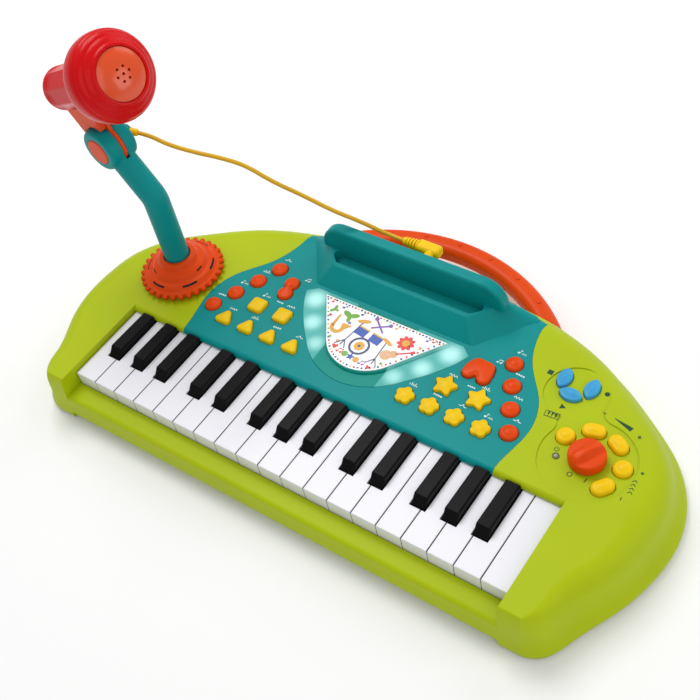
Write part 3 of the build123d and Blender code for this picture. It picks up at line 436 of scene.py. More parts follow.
def bean_outline():
    """A bar with round ends, bowed round the knob."""
    swing = math.radians(BEAN_SWING)
    knob_middle = Vector((-LEVEL_RING, 0))
    high_end, low_end = (
        knob_middle + Vector((math.cos(angle), math.sin(angle))) * LEVEL_RING for angle in (swing, -swing)
    )
    points = arc_points(knob_middle, LEVEL_RING + BEAN_HALF, -swing, swing)
    points += arc_points(high_end, BEAN_HALF, swing, swing + math.pi)[1:-1]
    points += arc_points(knob_middle, LEVEL_RING - BEAN_HALF, swing, -swing)
    points += arc_points(low_end, BEAN_HALF, -swing - math.pi, -swing)[1:-1]
    return points


BUTTON_OUTLINES = {
    "round": disc(6.0),
    "square": rounded([(-6, -6), (6, -6), (6, 6), (-6, 6)], 2.6),
    "triangle": rounded(regular(3, 8.9), 2.4, 8),
    "star": rounded(star_corners(9.3, 5.4), 1.3),
    "flower": joined_circles([(0, 0, 4.6)] + [(*spot, 3.0) for spot in regular(5, 3.7)], 2),
    "leaf": crossed_circles([(0, 4.457, 9.157), (0, -4.457, 9.157)], 2),
    "twin": joined_circles([(-0.5, 4.9, 5.6), (0.5, -4.9, 5.6)], 2),
    "lobed": joined_circles(
        chain([(-5.4, 0), (-3.4, 4.4), (4.4, 4.0), (5.4, 0)], 4.8)
        + [(-5.4, -3.6, 4.8), (5.6, -4.2, 4.8)], 2),
    "bean": bean_outline(),
}


def inset(points, distance):
    """An anticlockwise outline moved inwards."""
    moved = []
    for index, point in enumerate(points):
        along = (points[(index + 1) % len(points)] - points[index - 1]).normalized()
        moved.append(point + Vector((-along.y, along.x)) * distance)
    return moved


def side_faces(rings):
    """The faces between rings of equal length, each ring's points in one row."""
    count = len(rings[0])
    faces = []
    for level in range(len(rings) - 1):
        for k in range(count):
            a = level * count + k
            b = level * count + (k + 1) % count
            faces.append((a, b, b + count, a + count))
    return faces


def stacked(name, rings, material, body, close_low=False):
    """A skin over rings of equal length, its last ring closed to a point."""
    count = len(rings[0])
    points = [point for ring in rings for point in ring]
    faces = side_faces(rings)
    top = rings[-1]
    points.append(sum((Vector(p) for p in top), Vector((0, 0, 0))) / count)
    last = (len(rings) - 1) * count
    faces += [(last + k, last + (k + 1) % count, len(points) - 1) for k in range(count)]
    if close_low:
        faces.append(tuple(reversed(range(count))))
    return mesh_piece(name, points, faces, material, body)


RIDGE_HALF = 3.0  # a ridge falls away over this distance


def button(name, outline, place, low, high, edge, crown, material, body, ridge=0.0):
    """A button: upright sides, a rounded rim and a crowned top, with a ridge on a leaf."""
    x, y, turn = place
    rings = []
    rim_top = high - crown

    def level(points, height):
        """An outline at its place and height."""
        return [(*spot, height) for spot in turned(points, x, FRONT + y, turn)]

    rings.append(level(outline, low))
    for step in range(7):
        angle = math.pi / 2 * step / 6
        points = inset(outline, edge * (1 - math.cos(angle)))
        rings.append(level(points, rim_top - edge + edge * math.sin(angle)))
    flat = inset(outline, edge)
    middle = sum(flat, Vector((0, 0))) / len(flat)
    for step in range(1, 6):
        share = 1 - step / 6
        points = [middle + (point - middle) * share for point in flat]
        rise = crown * (1 - share**2)
        ring = []
        for place_now, point in zip(turned(points, x, FRONT + y, turn), points):
            fall = ridge * min(1.0, abs(point.y) / RIDGE_HALF)
            ring.append((*place_now, rim_top + rise - fall * (1 - share)))
        rings.append(ring)
    return stacked(name, rings, material, body)


# ---------------------------------------------------------------------------
# Buttons: one piece each, on the body of its group
# ---------------------------------------------------------------------------
PRESS_LOW = 33.0
BUTTON_TOP = 42.5
BUTTON_LOOKS = {  # rounding of the rim, rise of the crown, fall beside a ridge
    "round": (2.4, 1.0, 0.0),
    "square": (1.9, 0.5, 0.0),
    "triangle": (1.8, 0.5, 0.0),
    "star": (1.1, 0.9, 0.0),
    "flower": (1.3, 0.9, 0.0),
    "leaf": (1.0, 1.6, 1.5),
    "twin": (1.9, 0.9, 0.0),
    "lobed": (1.8, 0.8, 0.0),
    "bean": (2.2, 0.8, 0.0),
}
KNOB_X, KNOB_Y = 169.0, 97.0
ORANGE_SPOTS = [("twin", -78.3, 127.9, 0), ("lobed", 78.4, 125.2, 0)]
for x, y in ((119, 92), (111, 108), (103, 124.3), (95.5, 140.5)):
    ORANGE_SPOTS += [("round", -x, y, 0), ("round", x, y, 0)]
YELLOW_SPOTS = [("triangle", x, 84.8, 0) for x in (-102.7, -83.2, -63.8, -44.5)]
YELLOW_SPOTS += [("square", x, 105, 0) for x in (-88.5, -66.5)]
YELLOW_SPOTS += [("flower", x, 86.4, 0) for x in (46.8, 65.0, 83.4, 102.2)]
YELLOW_SPOTS += [("star", x, 105, 0) for x in (65.6, 89.6)]
BLUE_SPOTS = [("leaf", 128.7, 145.4, 90), ("leaf", 137.9, 135.2, 0), ("leaf", 147.7, 145.1, 90)]
LEVEL_SPOTS = []
for angle in (154, 106, 58, 10, -38):
    spot_x = KNOB_X + LEVEL_RING * math.cos(math.radians(angle))
    spot_y = KNOB_Y + LEVEL_RING * math.sin(math.radians(angle))
    LEVEL_SPOTS.append(("round" if angle in (154, 10) else "bean", spot_x, spot_y, angle))

for group, spots, material in (
    ("orange", ORANGE_SPOTS, orange),
    ("yellow", YELLOW_SPOTS, yellow),
    ("blue", BLUE_SPOTS, blue),
    ("level", LEVEL_SPOTS, yellow),
):
    for number, (shape, x, y, turn) in enumerate(spots):
        edge, crown, ridge = BUTTON_LOOKS[shape]
        piece = button(
            f"{group}_{shape}_{number + 1}", BUTTON_OUTLINES[shape], (x, y, turn),
            PRESS_LOW, BUTTON_TOP, edge, crown, material, f"{group}_set", ridge,
        )
        if number == 0:
            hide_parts(f"{group}_buttons")

# ---------------------------------------------------------------------------
# Power knob: a low dome with a grip across it
# ---------------------------------------------------------------------------
KNOB_R = 11.5
KNOB_LOW = 39.5
KNOB_RIM = 44.4
KNOB_SHOULDER = 46.2
KNOB_CROWN = 3.9
GRIP_HALF = 1.7
KNOB_TURN = 62.0


def knob_height(across, radius):
    """The knob's skin: a dome scooped away on both sides of its grip."""
    share = min(1.0, radius / KNOB_R)
    dome = KNOB_SHOULDER + KNOB_CROWN * math.sqrt(max(0.0, 1 - share**2.4))
    hollow = 46.4 - 0.5 * share
    side = min(1.0, max(0.0, (abs(across) - GRIP_HALF) / 2.6))
    side = side * side * (3 - 2 * side)
    return dome + (min(dome, hollow) - dome) * side


rings = [[], []]
KNOB_SIDES = 96
for level, height in ((0, KNOB_LOW), (1, KNOB_RIM)):
    for k in range(KNOB_SIDES):
        angle = 2 * math.pi * k / KNOB_SIDES
        x = KNOB_X + KNOB_R * math.cos(angle)
        y = FRONT + KNOB_Y + KNOB_R * math.sin(angle)
        rings[level].append((x, y, height))
for radius in (11.3, 10.8, 9.9, 8.6, 7.2, 5.8, 4.4, 3.0, 1.6, 0.7):
    ring = []
    for k in range(KNOB_SIDES):
        angle = 2 * math.pi * k / KNOB_SIDES
        across = radius * math.sin(angle - math.radians(KNOB_TURN))
        height = knob_height(across, radius)
        if radius > 10.5:
            rim_rise = 1.9 * math.sqrt(max(0.0, 1 - ((radius - 10.0) / 1.5) ** 2))
            height = min(height, KNOB_RIM + rim_rise)
        x = KNOB_X + radius * math.cos(angle)
        y = FRONT + KNOB_Y + radius * math.sin(angle)
        ring.append((x, y, height))
    rings.append(ring)
knob = stacked("power_knob_skin", rings, orange, "knob")
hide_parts("power_knob")


# ---------------------------------------------------------------------------
# Microphone: bell and handle turned about one axis, with a rim round the front disc
# ---------------------------------------------------------------------------
def smooth_line(corners, steps=6):
    """Points along a Catmull-Rom curve through the corners."""
    points = []
    last = len(corners) - 1
    for index in range(last):
        p0 = Vector(corners[max(index - 1, 0)])
        p1 = Vector(corners[index])
        p2 = Vector(corners[index + 1])
        p3 = Vector(corners[min(index + 2, last)])
        for step in range(steps):
            t = step / steps
            points.append(0.5 * (2 * p1 + (p2 - p0) * t + (2 * p0 - 5 * p1 + 4 * p2 - p3) * t**2
                                 + (3 * p1 - p0 - 3 * p2 + p3) * t**3))
    points.append(Vector(corners[-1]))
    return points


STAND_TURN = math.radians(5.6)
MIC_TILT = math.radians(26.4)
PIN_BACK = 29.8  # the tilt pin from the collar's axis
PIN_HEIGHT = 147.8
BELL_REACH = 73.4  # the bell's front from the tilt pin, along the microphone
BELL_LIFT = 44.3  # the microphone's axis above the tilt pin
OUT = Vector((math.cos(STAND_TURN), -math.sin(STAND_TURN), 0))
PIN_WAY = Vector((math.sin(STAND_TURN), math.cos(STAND_TURN), 0))
UP = Vector((0, 0, 1))
ACROSS = Vector((1, 0, 0))
COLLAR = Vector((-160.0, FRONT + 107.0, 0))
PIVOT = COLLAR - OUT * PIN_BACK + UP * PIN_HEIGHT
AIM = OUT * math.cos(MIC_TILT) + UP * math.sin(MIC_TILT)
LIFT = UP * math.cos(MIC_TILT) - OUT * math.sin(MIC_TILT)
MIC_FRONT = PIVOT + AIM * BELL_REACH + LIFT * BELL_LIFT


def turned_skin(name, profile, origin, axis, first, material, body, count=96, shape=None, open_end=False):
    """A skin turned about an axis from (distance along it, radius) pairs."""
    second = axis.cross(first)
    rings = []
    for along, radius in profile:
        ring = []
        for k in range(count):
            angle = 2 * math.pi * k / count
            reach = shape(along, radius, angle) if shape else radius
            way = first * math.cos(angle) + second * math.sin(angle)
            ring.append(origin + axis * along + way * reach)
        rings.append(ring)
    if open_end:
        points = [point for ring in rings for point in ring]
        return mesh_piece(name, points, side_faces(rings), material, body)
    return stacked(name, rings, material, body)


MIC_PROFILE = [  # distance behind the bell's front, radius
    (3.0, 16.75), (0.2, 16.9), (0.0, 17.6), (0.3, 18.8), (1.5, 19.7), (2.5, 21.4), (3.6, 22.9), (4.6, 23.6),
    (5.6, 25.4), (7.2, 26.9), (8.8, 27.5), (10.4, 28.5), (13.0, 29.0), (16.5, 29.0), (20.0, 28.7),
    (22.4, 28.0), (24.0, 26.2), (27.0, 25.7), (28.4, 23.4), (31.9, 22.4), (33.2, 20.0), (37.0, 18.4),
    (42.0, 15.6), (46.0, 15.4), (60.0, 15.1), (74.0, 14.9), (82.0, 14.9), (86.0, 14.8), (89.4, 13.5),
    (91.4, 11.0), (92.3, 7.4), (92.4, 3.0),
]
FACETS = 8


def mic_shape(along, radius, angle):
    """Flat facets with soft edges along the handle, none on the bell."""
    blend = min(1.0, max(0.0, (along - 40.0) / 6.0)) * min(1.0, max(0.0, (86.0 - along) / 6.0))
    step = 2 * math.pi / FACETS
    offset_now = (angle + step / 2) % step - step / 2
    flat = math.cos(step / 2) / math.cos(offset_now)
    return radius * (1 + (min(flat, 0.996) / 0.996 - 1) * blend)


mic_skin = turned_skin("mic_skin", smooth_line(MIC_PROFILE, 4), MIC_FRONT, -AIM, PIN_WAY, mic_red,
                       "microphone", 160, mic_shape)
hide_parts("mic_shell")

# ---------------------------------------------------------------------------
# Gear-shaped collar: a stepped dome with teeth round its rim, and dark plates of painted shade in its slots
# ---------------------------------------------------------------------------
TOOTH_COUNT = 31
TOOTH_ROOT = 28.0
TOOTH_TIP = 30.7
COLLAR_PROFILE = [  # height, radius
    (41.0, 27.9), (41.3, 28.0), (41.45, 28.0), (44.0, 28.0), (44.2, 28.0), (44.5, 27.7), (44.6, 26.4),
    (45.0, 25.6), (46.6, 24.9), (47.7, 24.0), (48.3, 22.8), (48.45, 21.4), (48.9, 20.4), (50.4, 19.8),
    (51.9, 18.8), (53.0, 17.2), (53.5, 15.6), (54.2, 14.6), (56.4, 14.0), (57.7, 13.2), (58.3, 12.0),
    (58.4, 10.6), (58.2, 9.7), (57.0, 9.5), (48.0, 9.5),
]


def tooth_reach(along, radius, angle):
    """Blunt teeth between the heights where the rim has them."""
    if not 41.4 < along < 44.1:
        return radius
    share = (angle * TOOTH_COUNT / (2 * math.pi)) % 1.0
    flank = abs(share - 0.5) * 2
    rise = min(1.0, max(0.0, (0.66 - flank) / 0.26))
    return radius + (TOOTH_TIP - TOOTH_ROOT) * rise * rise * (3 - 2 * rise)


collar = turned_skin("collar_skin", COLLAR_PROFILE, COLLAR, UP, ACROSS, orange, "case",
                     TOOTH_COUNT * 12, tooth_reach, open_end=True)
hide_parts("mic_collar")


SLOT_STEPS = 8
SLOT_LAYERS = (-0.6, 0.12)  # the plates' undersides and tops, from the collar's slope


def collar_slot_shade(name, radius, long, wide, height, lean, turns):
    """Dark plates of painted shade laid in the collar's slots on its slope, each along its rim."""
    per_layer = 2 * (SLOT_STEPS + 1)
    points = []
    faces = []
    for turn in turns:
        angle = math.radians(turn)
        way = Vector((math.cos(angle), math.sin(angle), 0))
        side = Vector((-math.sin(angle), math.cos(angle), 0))
        down = (way * math.cos(lean) - UP * math.sin(lean)) * wide / 2
        start = len(points)
        for layer in SLOT_LAYERS:
            for step in range(SLOT_STEPS + 1):
                along = (step / SLOT_STEPS - 0.5) * long
                bow = math.sqrt(radius**2 - along**2)
                middle = COLLAR + way * bow + side * along + UP * (height + layer)
                points += [middle - down, middle + down]
        for step in range(SLOT_STEPS):
            low = start + step * 2
            high = low + per_layer
            faces += [(low, low + 2, low + 3, low + 1), (high, high + 1, high + 3, high + 2)]
            faces += [(low, high, high + 2, low + 2), (low + 1, low + 3, high + 3, high + 1)]
        end = start + 2 * SLOT_STEPS
        faces.append((start, start + 1, start + per_layer + 1, start + per_layer))
        faces.append((end, end + per_layer, end + per_layer + 1, end + 1))
    piece = mesh_piece(name, points, faces, slot_shade_and_seam_dark, "case", smooth=False)


# Painted shade: thin dark plates stand for the shade deep inside the collar's slots
collar_slot_shade("collar_slot_shade_low", 24.2, 11.0, 1.5, 47.5, math.radians(52), (-93, -33, 27, 87, 147, 207))
collar_slot_shade("collar_slot_shade_high", 19.3, 5.0, 1.1, 51.3, math.radians(62), (-120, 0, 120))

# Seam down the front of the stand, where its two half shells meet
SEAM_R = 0.6
SEAM_LOW = 59.5
SEAM_STEP = 1.7
SEAM_OUT = 8.75  # the seam from the collar's axis, below the stand's bend
BEND_START = 108.0
BEND_LONG = 14.0
BEND_SLOPE = 0.832  # how far the stand leans back for each millimetre up
seam_path = []
for step in range(40):
    height = SEAM_LOW + step * SEAM_STEP
    offset = SEAM_OUT
    if height >= BEND_START:
        share = min(1.0, (height - BEND_START) / BEND_LONG)
        lean = share * share * (3 - 2 * share)
        leaning = 11.45 - (height - 112) * BEND_SLOPE
        offset = SEAM_OUT + (leaning - SEAM_OUT) * lean
    seam_path.append((COLLAR + UP * height + OUT * offset) * MM)

# ---------------------------------------------------------------------------
# Cord: it leaves a gland on the tilt pin and hangs to its plug
# ---------------------------------------------------------------------------
GLAND_WAY = Vector((0.922, 0.337, -0.190)).normalized()
GLAND_LONG = 8.0
GLAND_START = PIVOT + PIN_WAY * 14.5
CORD_EXIT = GLAND_START + GLAND_WAY * GLAND_LONG
PLUG_START = Vector((-14.5, FRONT + 185, 63.5))
CORD_R = 1.5
CORD_ROUTE = [
    CORD_EXIT,
    CORD_EXIT + GLAND_WAY * GLAND_LONG,
    Vector((-162, FRONT + 133.9, 137.0)),
    Vector((-147, FRONT + 139.6, 131.6)),
    Vector((-128, FRONT + 146.9, 127.0)),
    Vector((-113, FRONT + 152.6, 121.2)),
    Vector((-98, FRONT + 158.4, 107.6)),
    Vector((-80, FRONT + 165.2, 96.6)),
    Vector((-62, FRONT + 172.1, 83.4)),
    Vector((-45, FRONT + 179.0, 74.2)),
    Vector((-28.5, FRONT + 185.0, 63.5)),
    PLUG_START,
]


def spline_line(points):
    """Points read from the smooth NURBS line that the route's points control."""
    line = bpy.data.curves.new("cord_line", "CURVE")
    line.dimensions = "3D"
    spline = line.splines.new("NURBS")
    spline.points.add(len(points) - 1)
    for place, point in zip(spline.points, points):
        place.co = (*(point * MM), 1.0)
    spline.order_u = 3
    spline.use_endpoint_u = True
    spline.resolution_u = 16
    holder = bpy.data.objects.new("cord_line", line)
    scene.collection.objects.link(holder)
    bpy.context.view_layer.update()
    mesh = bpy.data.meshes.new_from_object(holder)
    found = [vertex.co.copy() for vertex in mesh.vertices]
    bpy.data.objects.remove(holder)
    return found


def tube(name, path, radius, material, sides=20):
    """A closed tube along points in metres."""
    rings = []
    side = Vector((0, 0, 1))
    for index, point in enumerate(path):
        before = path[max(index - 1, 0)]
        after = path[min(index + 1, len(path) - 1)]
        along = (after - before).normalized()
        side = (side - along * side.dot(along)).normalized()
        other = along.cross(side)
        ring = []
        for k in range(sides):
            angle = 2 * math.pi * k / sides
            ring.append(point / MM + (side * math.cos(angle) + other * math.sin(angle)) * radius)
        rings.append(ring)
    return stacked(name, rings, material, None, close_low=True)


seam = tube("stand_seam", seam_path, SEAM_R, slot_shade_and_seam_dark, 8)
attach(seam, "stand")

fin_edge = [
    (-1.45, 10.0), (-1.45, 14.6), (-1.2, 15.2), (-0.6, 15.5),
    (0.6, 15.5), (1.2, 15.2), (1.45, 14.6), (1.45, 10.0),
]
fin = turned_skin("bracket_fin", fin_edge, PIVOT, PIN_WAY, OUT, orange, "microphone", 72, open_end=True)
boss_edge = [(11.0, 4.4), (15.4, 4.3), (16.6, 3.9), (17.3, 3.0), (17.5, 1.0)]
boss = turned_skin("pin_boss", boss_edge, PIVOT, PIN_WAY, OUT, teal, "stand", 40)
sleeve_edge = [(1.2, 3.2), (2.4, 3.1), (4.4, 2.75), (7.6, 2.5), (8.3, 2.3), (8.6, 1.6), (8.6, 1.2)]
sleeve_side = PIN_WAY.cross(GLAND_WAY).normalized()
sleeve = turned_skin("cord_sleeve", sleeve_edge, GLAND_START, GLAND_WAY, sleeve_side, yellow, "stand", 32,
                     open_end=True)
cord_path = spline_line(CORD_ROUTE)
cord = tube("mic_cord_skin", cord_path, CORD_R, cord_skin)
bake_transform(cord)
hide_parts("mic_cord")

# ---------------------------------------------------------------------------
# Printed marks: thin plates of small generic pictures
# ---------------------------------------------------------------------------
RECESS_TOP = 38.2
RECESSES = ((KNOB_X, KNOB_Y, 29.0), (141.0, 138.0, 20.0))
PRINT_THICK = 0.07
PRINT_SINK = 0.02
PRINT_STEP = 0.006  # keeps plates that overlap from lying in one plane


def panel_height(x, y):
    """The top of the panel, a little lower inside the shallow dish."""
    for middle_x, middle_y, radius in RECESSES:
        if math.hypot(x - middle_x, y - FRONT - middle_y) < radius:
            return RECESS_TOP
    return PANEL_TOP


CARD_FACE = 41.9


def plates(name, shapes, material, height=panel_height, thick=PRINT_THICK):
    """One mesh of thin closed plates, a plate for each flat outline."""
    points = []
    faces = []
    for number, shape in enumerate(shapes):
        count = len(shape)
        start = len(points)
        middle = sum((Vector(p) for p in shape), Vector((0, 0))) / count
        low = height(*middle) + PRINT_STEP * (number % 4)
        for level in (low - PRINT_SINK, low + thick):
            points += [(p[0], p[1], level) for p in shape]
        faces.append(tuple(start + count + k for k in range(count)))
        faces.append(tuple(start + count - 1 - k for k in range(count)))
        for k in range(count):
            after = (k + 1) % count
            faces.append((start + k, start + after, start + count + after, start + count + k))
    piece = mesh_piece(name, points, faces, material, "case", smooth=False)


def placed(shapes, x, y, degrees=0.0, size=1.0):
    """Small shapes scaled, turned and moved to a place behind the keys' front edge."""
    return [turned([Vector(p) * size for p in shape], x, FRONT + y, degrees) for shape in shapes]


def stroke(x1, y1, x2, y2, width=0.5):
    """A straight bar from one point to another."""
    along = Vector((x2 - x1, y2 - y1)).normalized()
    side = Vector((-along.y, along.x)) * width / 2
    a, b = Vector((x1, y1)), Vector((x2, y2))
    return [a - side, b - side, b + side, a + side]


def spot(x, y, radius, count=18):
    """A round dot."""
    return [p + Vector((x, y)) for p in disc(radius, count)]


def ellipse(x, y, wide, high, turn=0.0, count=24):
    """An oval from its half width and half height."""
    return turned([(p.x * wide, p.y * high) for p in disc(1.0, count)], x, y, turn)


def arc_band(radius, width, start, end, steps=12, x=0.0, y=0.0):
    """Short strokes that follow an arc."""
    shapes = []
    for step in range(steps):
        corners = []
        for share, reach in ((0, -0.5), (0, 0.5), (1, 0.5), (1, -0.5)):
            angle = math.radians(start + (end - start) * (step + share) / steps)
            corners.append(Vector((x + (radius + reach * width) * math.cos(angle),
                                   y + (radius + reach * width) * math.sin(angle))))
        shapes.append(corners[::-1])
    return shapes


def star_plate(x, y, outer):
    """A star, its tips twice as far out as its notches."""
    return turned(star_corners(outer, outer * 0.5), x, y, 0)


NOTE = [ellipse(0, 0, 0.85, 0.65, 20), stroke(0.7, 0, 0.7, 2.6, 0.3), stroke(0.7, 2.5, 1.7, 1.9, 0.45)]
PAIR = [
    ellipse(-1.2, 0, 0.8, 0.6, 20), ellipse(1.2, 0, 0.8, 0.6, 20), stroke(-0.5, 0, -0.5, 2.2, 0.3),
    stroke(1.9, 0, 1.9, 2.5, 0.3), stroke(-0.6, 2.1, 2.0, 2.4, 0.5),
]
BAR_HEIGHTS = ((-2.4, 1.2), (-1.2, 2.2), (0, 1.5), (1.2, 2.5), (2.4, 1.0))
BARS = [stroke(x, -0.6, x, -0.6 + tall, 0.55) for x, tall in BAR_HEIGHTS]
WAVE = [stroke(-3.0 + k, (-0.6, 0.8)[k % 2], -2.0 + k, (0.8, -0.6)[k % 2], 0.45) for k in range(6)]
DOTS = [spot(x, 0.2, 0.65) for x in (-2.4, -0.8, 0.8, 2.4)]
ZIG = [
    stroke(-2.6, 0, -0.9, 0, 0.5), stroke(-0.9, 0, 0, 1.6, 0.45),
    stroke(0, 1.6, 0.9, 0, 0.45), stroke(0.9, 0, 2.6, 0, 0.5),
]
HEART = [[
    (0, -1.7), (1.75, 0.35), (1.5, 1.2), (0.85, 1.45),
    (0, 0.75), (-0.85, 1.45), (-1.5, 1.2), (-1.75, 0.35),
]]
NOTE_AND_BARS = NOTE + placed(BARS, 3.6, -FRONT, 0, 0.6)

MARK_BEHIND = 10.1  # a mark from the middle of its button
NOTE_SHIFT = 2.4  # brings the wider mark's middle over its button
white_marks = []
for count, (shape, x, y, turn) in enumerate(ORANGE_SPOTS + YELLOW_SPOTS):
    if shape in ("twin", "lobed"):
        white_marks += placed(PAIR, x + 7.5, y + 12.5, 0, 1.0)
        white_marks += placed(DOTS, x + 2.0, y - 13.0, 0, 0.9)
        continue
    glyph = (WAVE, BARS, DOTS, ZIG, NOTE_AND_BARS)[count % 5]
    middle = x - NOTE_SHIFT if glyph is NOTE_AND_BARS else x
    white_marks += placed(glyph, middle, y + MARK_BEHIND, -4 if x > 0 else 4, 1.05)
plates("white_marks", white_marks, print_white)

PLAY = [[(-1.7, -2.0), (2.1, 0), (-1.7, 2.0)]]
STOP = [[(-1.8, -1.8), (1.8, -1.8), (1.8, 1.8), (-1.8, 1.8)]]
RECORD = [spot(0, 0, 1.9)]
PLUS = [stroke(-1.1, 0, 1.1, 0, 0.55), stroke(0, -1.1, 0, -0.2, 0.55), stroke(0, 0.2, 0, 1.1, 0.55)]
MINUS = [stroke(-1.1, 0, 1.1, 0, 0.55)]
POWER = arc_band(1.8, 0.5, 125, 415) + [stroke(0, 0.3, 0, 2.2, 0.5)]
OFF = arc_band(1.5, 0.5, 0, 360, 20)
ON = [stroke(0, -1.7, 0, 1.7, 0.6)]
WEDGE = [[(-6.5, -0.2), (6.5, -1.6), (6.5, 1.6), (-6.5, 0.2)]]
CHEVRONS = []
for x in (-4.2, -1.4, 1.4, 4.2):
    CHEVRONS += [stroke(x - 0.8, -1.4, x + 0.7, 0, 0.5), stroke(x + 0.7, 0, x - 0.8, 1.4, 0.5)]
KEYS = [stroke(x, -2.2, x, 2.2, 0.45) for x in (-4.8, -2.4, 0, 2.4, 4.8)]
KEYS += [stroke(-4.8, y, 4.8, y, 0.45) for y in (-2.2, 2.2)]
KEYS += [stroke(x, 0, x, 2.2, 1.2) for x in (-2.4, 0, 2.4)]
DARK_MARKS = (  # mark, x, y, turn and size
    (STOP, 118.6, 145.6, 0, 1.0),
    (RECORD, 157.2, 146.6, 0, 0.9),
    (PLAY, 137.9, 125.4, 0, 1.0),
    (MINUS, 162.5, 132.4, -10, 1.0),
    (WEDGE, 175.8, 130.2, -14, 1.0),
    (PLUS, 188.4, 126.0, -14, 1.0),
    (PLUS, 201.0, 103.5, -80, 1.0),
    (CHEVRONS, 200.3, 92.4, 95, 1.0),
    (MINUS, 198.0, 82.0, -80, 1.0),
    (POWER, 149.6, 96.0, 0, 0.8),
    (OFF, 164.5, 83.6, 0, 1.0),
    (ON, 174.6, 84.0, -8, 1.0),
    (KEYS, 135.2, 116.6, 5, 0.95),
)
dark_marks = []
for mark, x, y, turn, size in DARK_MARKS:
    dark_marks += placed(mark, x, y, turn, size)
plates("dark_marks", dark_marks, print_dark)

# ---------------------------------------------------------------------------
# Small power light beside the knob
# ---------------------------------------------------------------------------
LED_X, LED_Y = 151.4, 91.2
led_ring = [(0.0, 2.3), (0.5, 2.25), (0.62, 2.0), (0.55, 1.75), (0.2, 1.7)]
led_dome = [(0.1, 1.72), (0.45, 1.65), (0.9, 1.3), (1.2, 0.8), (1.3, 0.3)]
led_place = Vector((LED_X, FRONT + LED_Y, RECESS_TOP - 0.05))
turned_skin("power_light_ring", led_ring, led_place, UP, ACROSS, led_rim, "case", 40, open_end=True)
turned_skin("power_light_dome", led_dome, led_place, UP, ACROSS, led_clear, "case", 40)

# ---------------------------------------------------------------------------
# Picture card: a dotted border and generic instruments
# ---------------------------------------------------------------------------
CARD_HALF = 49.0
CARD_TOP = 134.3
CARD_MIDDLE = 117.0
CARD_R = 30.0
CARD_COLOURS = {
    "red": (222, 48, 40),
    "gold": (226, 164, 44),
    "blue": (38, 84, 176),
    "green": (112, 172, 52),
    "purple": (126, 84, 168),
    "navy": (52, 62, 110),
    "tan": (218, 172, 124),
    "pink": (236, 170, 140),
}
INK_ORDER = ("tan", "blue", "green", "purple", "red", "gold", "pink", "navy")
INK_STEP = 0.025  # each ink lies a little above the one before it
art = {name: [] for name in CARD_COLOURS}
reach = math.hypot(CARD_HALF, CARD_TOP - CARD_MIDDLE)
swing = math.atan2(CARD_TOP - CARD_MIDDLE, CARD_HALF) - math.acos(CARD_R / reach)
DOT_IN = 1.7  # border dots from the card's round edge
DOT_PITCH = 2.6
edge = [(-CARD_HALF + 2.5 + DOT_PITCH * k, CARD_TOP - 1.5) for k in range(37)]
touch = (CARD_R * math.cos(swing), CARD_MIDDLE + CARD_R * math.sin(swing))
for k in range(1, 11):
    share = k / 11
    x = CARD_HALF + (touch[0] - CARD_HALF) * share - 1.6
    y = CARD_TOP + (touch[1] - CARD_TOP) * share
    edge += [(x, y), (-x, y)]
for k in range(21):
    angle = swing - (math.pi + 2 * swing) * k / 20
    radius = CARD_R - DOT_IN
    edge.append((radius * math.cos(angle), CARD_MIDDLE + radius * math.sin(angle)))
border_colours = ("navy", "red", "gold", "navy", "green", "red", "navy", "blue")
for count, (x, y) in enumerate(edge):
    colour = border_colours[count % len(border_colours)]
    art[colour].append(ellipse(x, FRONT + y, 0.75, (0.55, 0.8)[count % 2], 37 * count, 10))


def paint(colour, shapes, x, y, degrees=0.0, size=1.0):
    """Adds shapes to the card's art in one ink."""
    art[colour] += placed(shapes, x, y, degrees, size)


DRUMS = (
    ("navy", [stroke(-8.6, 9, -10.2, -9, 0.5), stroke(10.4, 4, 12.2, -11, 0.5)]),
    ("navy", [stroke(-10.0, -5, -13.5, -9.6, 0.5), stroke(-10.0, -5, -6.8, -9.8, 0.5)]),
    ("navy", [stroke(11.8, -7, 8.8, -11.6, 0.5), stroke(11.8, -7, 15.2, -11.4, 0.5)]),
    ("blue", [[(-9.2, 1.4), (-2.4, 0.8), (-2.0, 6.0), (-9.2, 6.4)]]),
    ("blue", [[(0.6, 0.8), (7.4, 0.2), (7.8, 5.4), (0.6, 6.0)]]),
    ("gold", [stroke(-9.4, 6.6, -1.8, 6.2, 0.9), stroke(0.4, 6.2, 8.0, 5.6, 0.9)]),
    ("navy", arc_band(5.2, 1.2, 0, 360, 28, -0.6, -4.6)),
    ("gold", [spot(-0.6, -4.6, 2.9, 24)]),
    ("navy", [spot(-0.6, -4.6, 0.8)]),
    ("gold", [ellipse(-8.6, 10.2, 3.8, 1.2, 24), ellipse(10.6, 5.2, 3.6, 1.1, -18)]),
    ("purple", [stroke(-3.4, 14.6, 4.6, 8.6, 1.0), stroke(-3.0, 8.4, 5.0, 14.4, 1.0)]),
    ("purple", [spot(5.4, 14.8, 1.2), spot(-3.8, 15.0, 1.2)]),
)
HORN = (
    ("gold", arc_band(3.3, 2.3, 175, 372, 16)),
    ("gold", [[(-4.5, -0.2), (-2.3, -0.2), (-3.6, 8.6), (-4.5, 8.4)]]),
    ("gold", [[(2.1, 0.2), (4.4, 0.2), (7.2, 4.6), (0.9, 4.0)]]),
    ("tan", [spot(-3.5 - 0.1 * k, k, 0.5, 10) for k in (1.6, 3.4, 5.2, 7.0)]),
)
LEAVES = (
    ("green", [ellipse(-2.4, 0.6, 3.6, 1.9, -22)]),
    ("green", [ellipse(2.6, 1.0, 3.6, 1.8, 28)]),
    ("green", [ellipse(0.6, -2.6, 2.9, 1.4, -80)]),
)
GUITAR = (
    ("tan", [spot(0, 0, 4.1, 28), spot(4.2, 2.7, 3.1, 24)]),
    ("pink", [spot(1.2, 0.8, 1.5)]),
    ("red", [stroke(5.5, 3.5, 14.2, 9.0, 1.1), stroke(14.0, 8.4, 16.2, 10.6, 2.2)]),
)
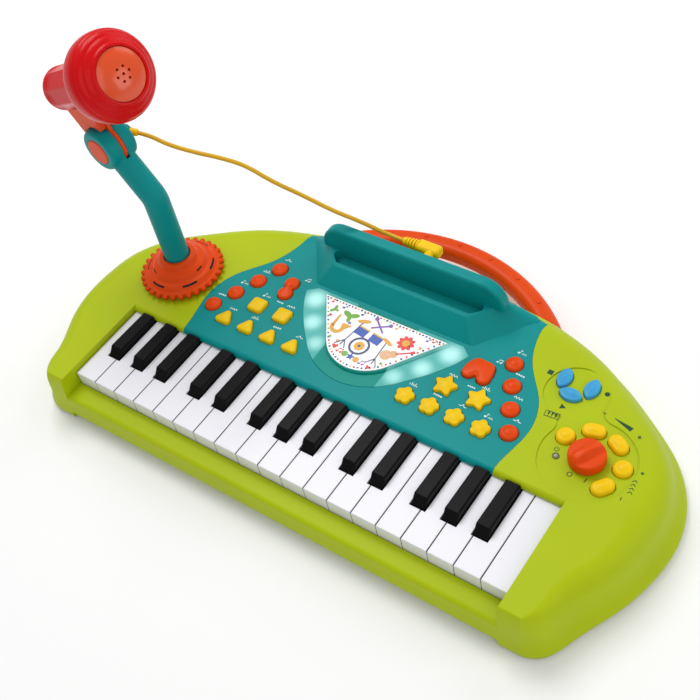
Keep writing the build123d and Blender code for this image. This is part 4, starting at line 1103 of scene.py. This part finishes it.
FLOWER = (
    ("red", [ellipse(3.2 * math.cos(math.radians(40 * k)), 3.2 * math.sin(math.radians(40 * k)),
                     2.3, 1.35, 40 * k, 14) for k in range(9)]),
    ("gold", [spot(0, 0, 2.4, 24)]),
)
PICTURES = (  # picture, x, y, turn and size
    (DRUMS, -0.5, 111.5, -4, 1.28),
    (HORN, -24.8, 113.0, -4, 1.2),
    (LEAVES, -22.4, 125.2, 0, 1.05),
    (LEAVES, -35.6, 125.6, 70, 0.62),
    (GUITAR, 18.4, 107.4, 0, 1.0),
    (FLOWER, 25.0, 121.8, 0, 1.15),
)
for picture, x, y, turn, size in PICTURES:
    for colour, shapes in picture:
        paint(colour, shapes, x, y, turn, size)
NOTE_SPOTS = (
    ("red", -40.8, 130.6), ("navy", -15.4, 129.6), ("gold", 12.2, 129.6),
    ("blue", 36.4, 129.8), ("navy", -30.8, 129.4), ("red", 40.6, 130.8),
)
for count, (colour, x, y) in enumerate(NOTE_SPOTS):
    paint(colour, NOTE, x, y, 12 - 9 * count, 1.1)
STAR_SPOTS = (
    ("green", -24.6, 104.0), ("gold", -17.6, 103.2), ("green", 19.6, 99.8),
    ("red", -35.4, 120.0), ("gold", 35.8, 122.4), ("purple", -19.2, 119.6),
)
for count, (colour, x, y) in enumerate(STAR_SPOTS):
    paint(colour, [star_plate(0, 0, 1.6)], x, y, 20 * count)
paint("red", HEART, -16.6, 98.4, 8, 1.3)
paint("red", HEART, 13.6, 93.2, -8, 1.0)
BALL = [spot(0, 0.8, 1.9)]
BIG_STAR = [star_plate(0, 0.8, 2.6)]
BOTTOM_ROW = (("red", PAIR), ("green", BALL), ("blue", BIG_STAR), ("gold", BALL), ("purple", PAIR))
for count, (colour, shape) in enumerate(BOTTOM_ROW):
    paint(colour, shape, -11.6 + 4.8 * count, 95.6 - 0.55 * count, 0, 1.2)
for colour, shapes in art.items():
    ink = plastic(f"ink_{colour}", CARD_COLOURS[colour], rough=0.35, grain=0.02, mottle=0.08, coat=0.2)
    face = CARD_FACE + INK_ORDER.index(colour) * INK_STEP
    plates(f"card_art_{colour}", shapes, ink, lambda x, y: face)

# ---------------------------------------------------------------------------
# Floor
# ---------------------------------------------------------------------------
floor_material = plastic("floor", (250, 250, 250), rough=0.9, grain=0.0, mottle=0.0, coat=0.0)
floor_half = 6000.0
floor = mesh_piece(
    "floor",
    [(-floor_half, -floor_half, 0), (floor_half, -floor_half, 0),
     (floor_half, floor_half, 0), (-floor_half, floor_half, 0)],
    [(0, 1, 2, 3)],
    floor_material,
    None,
)
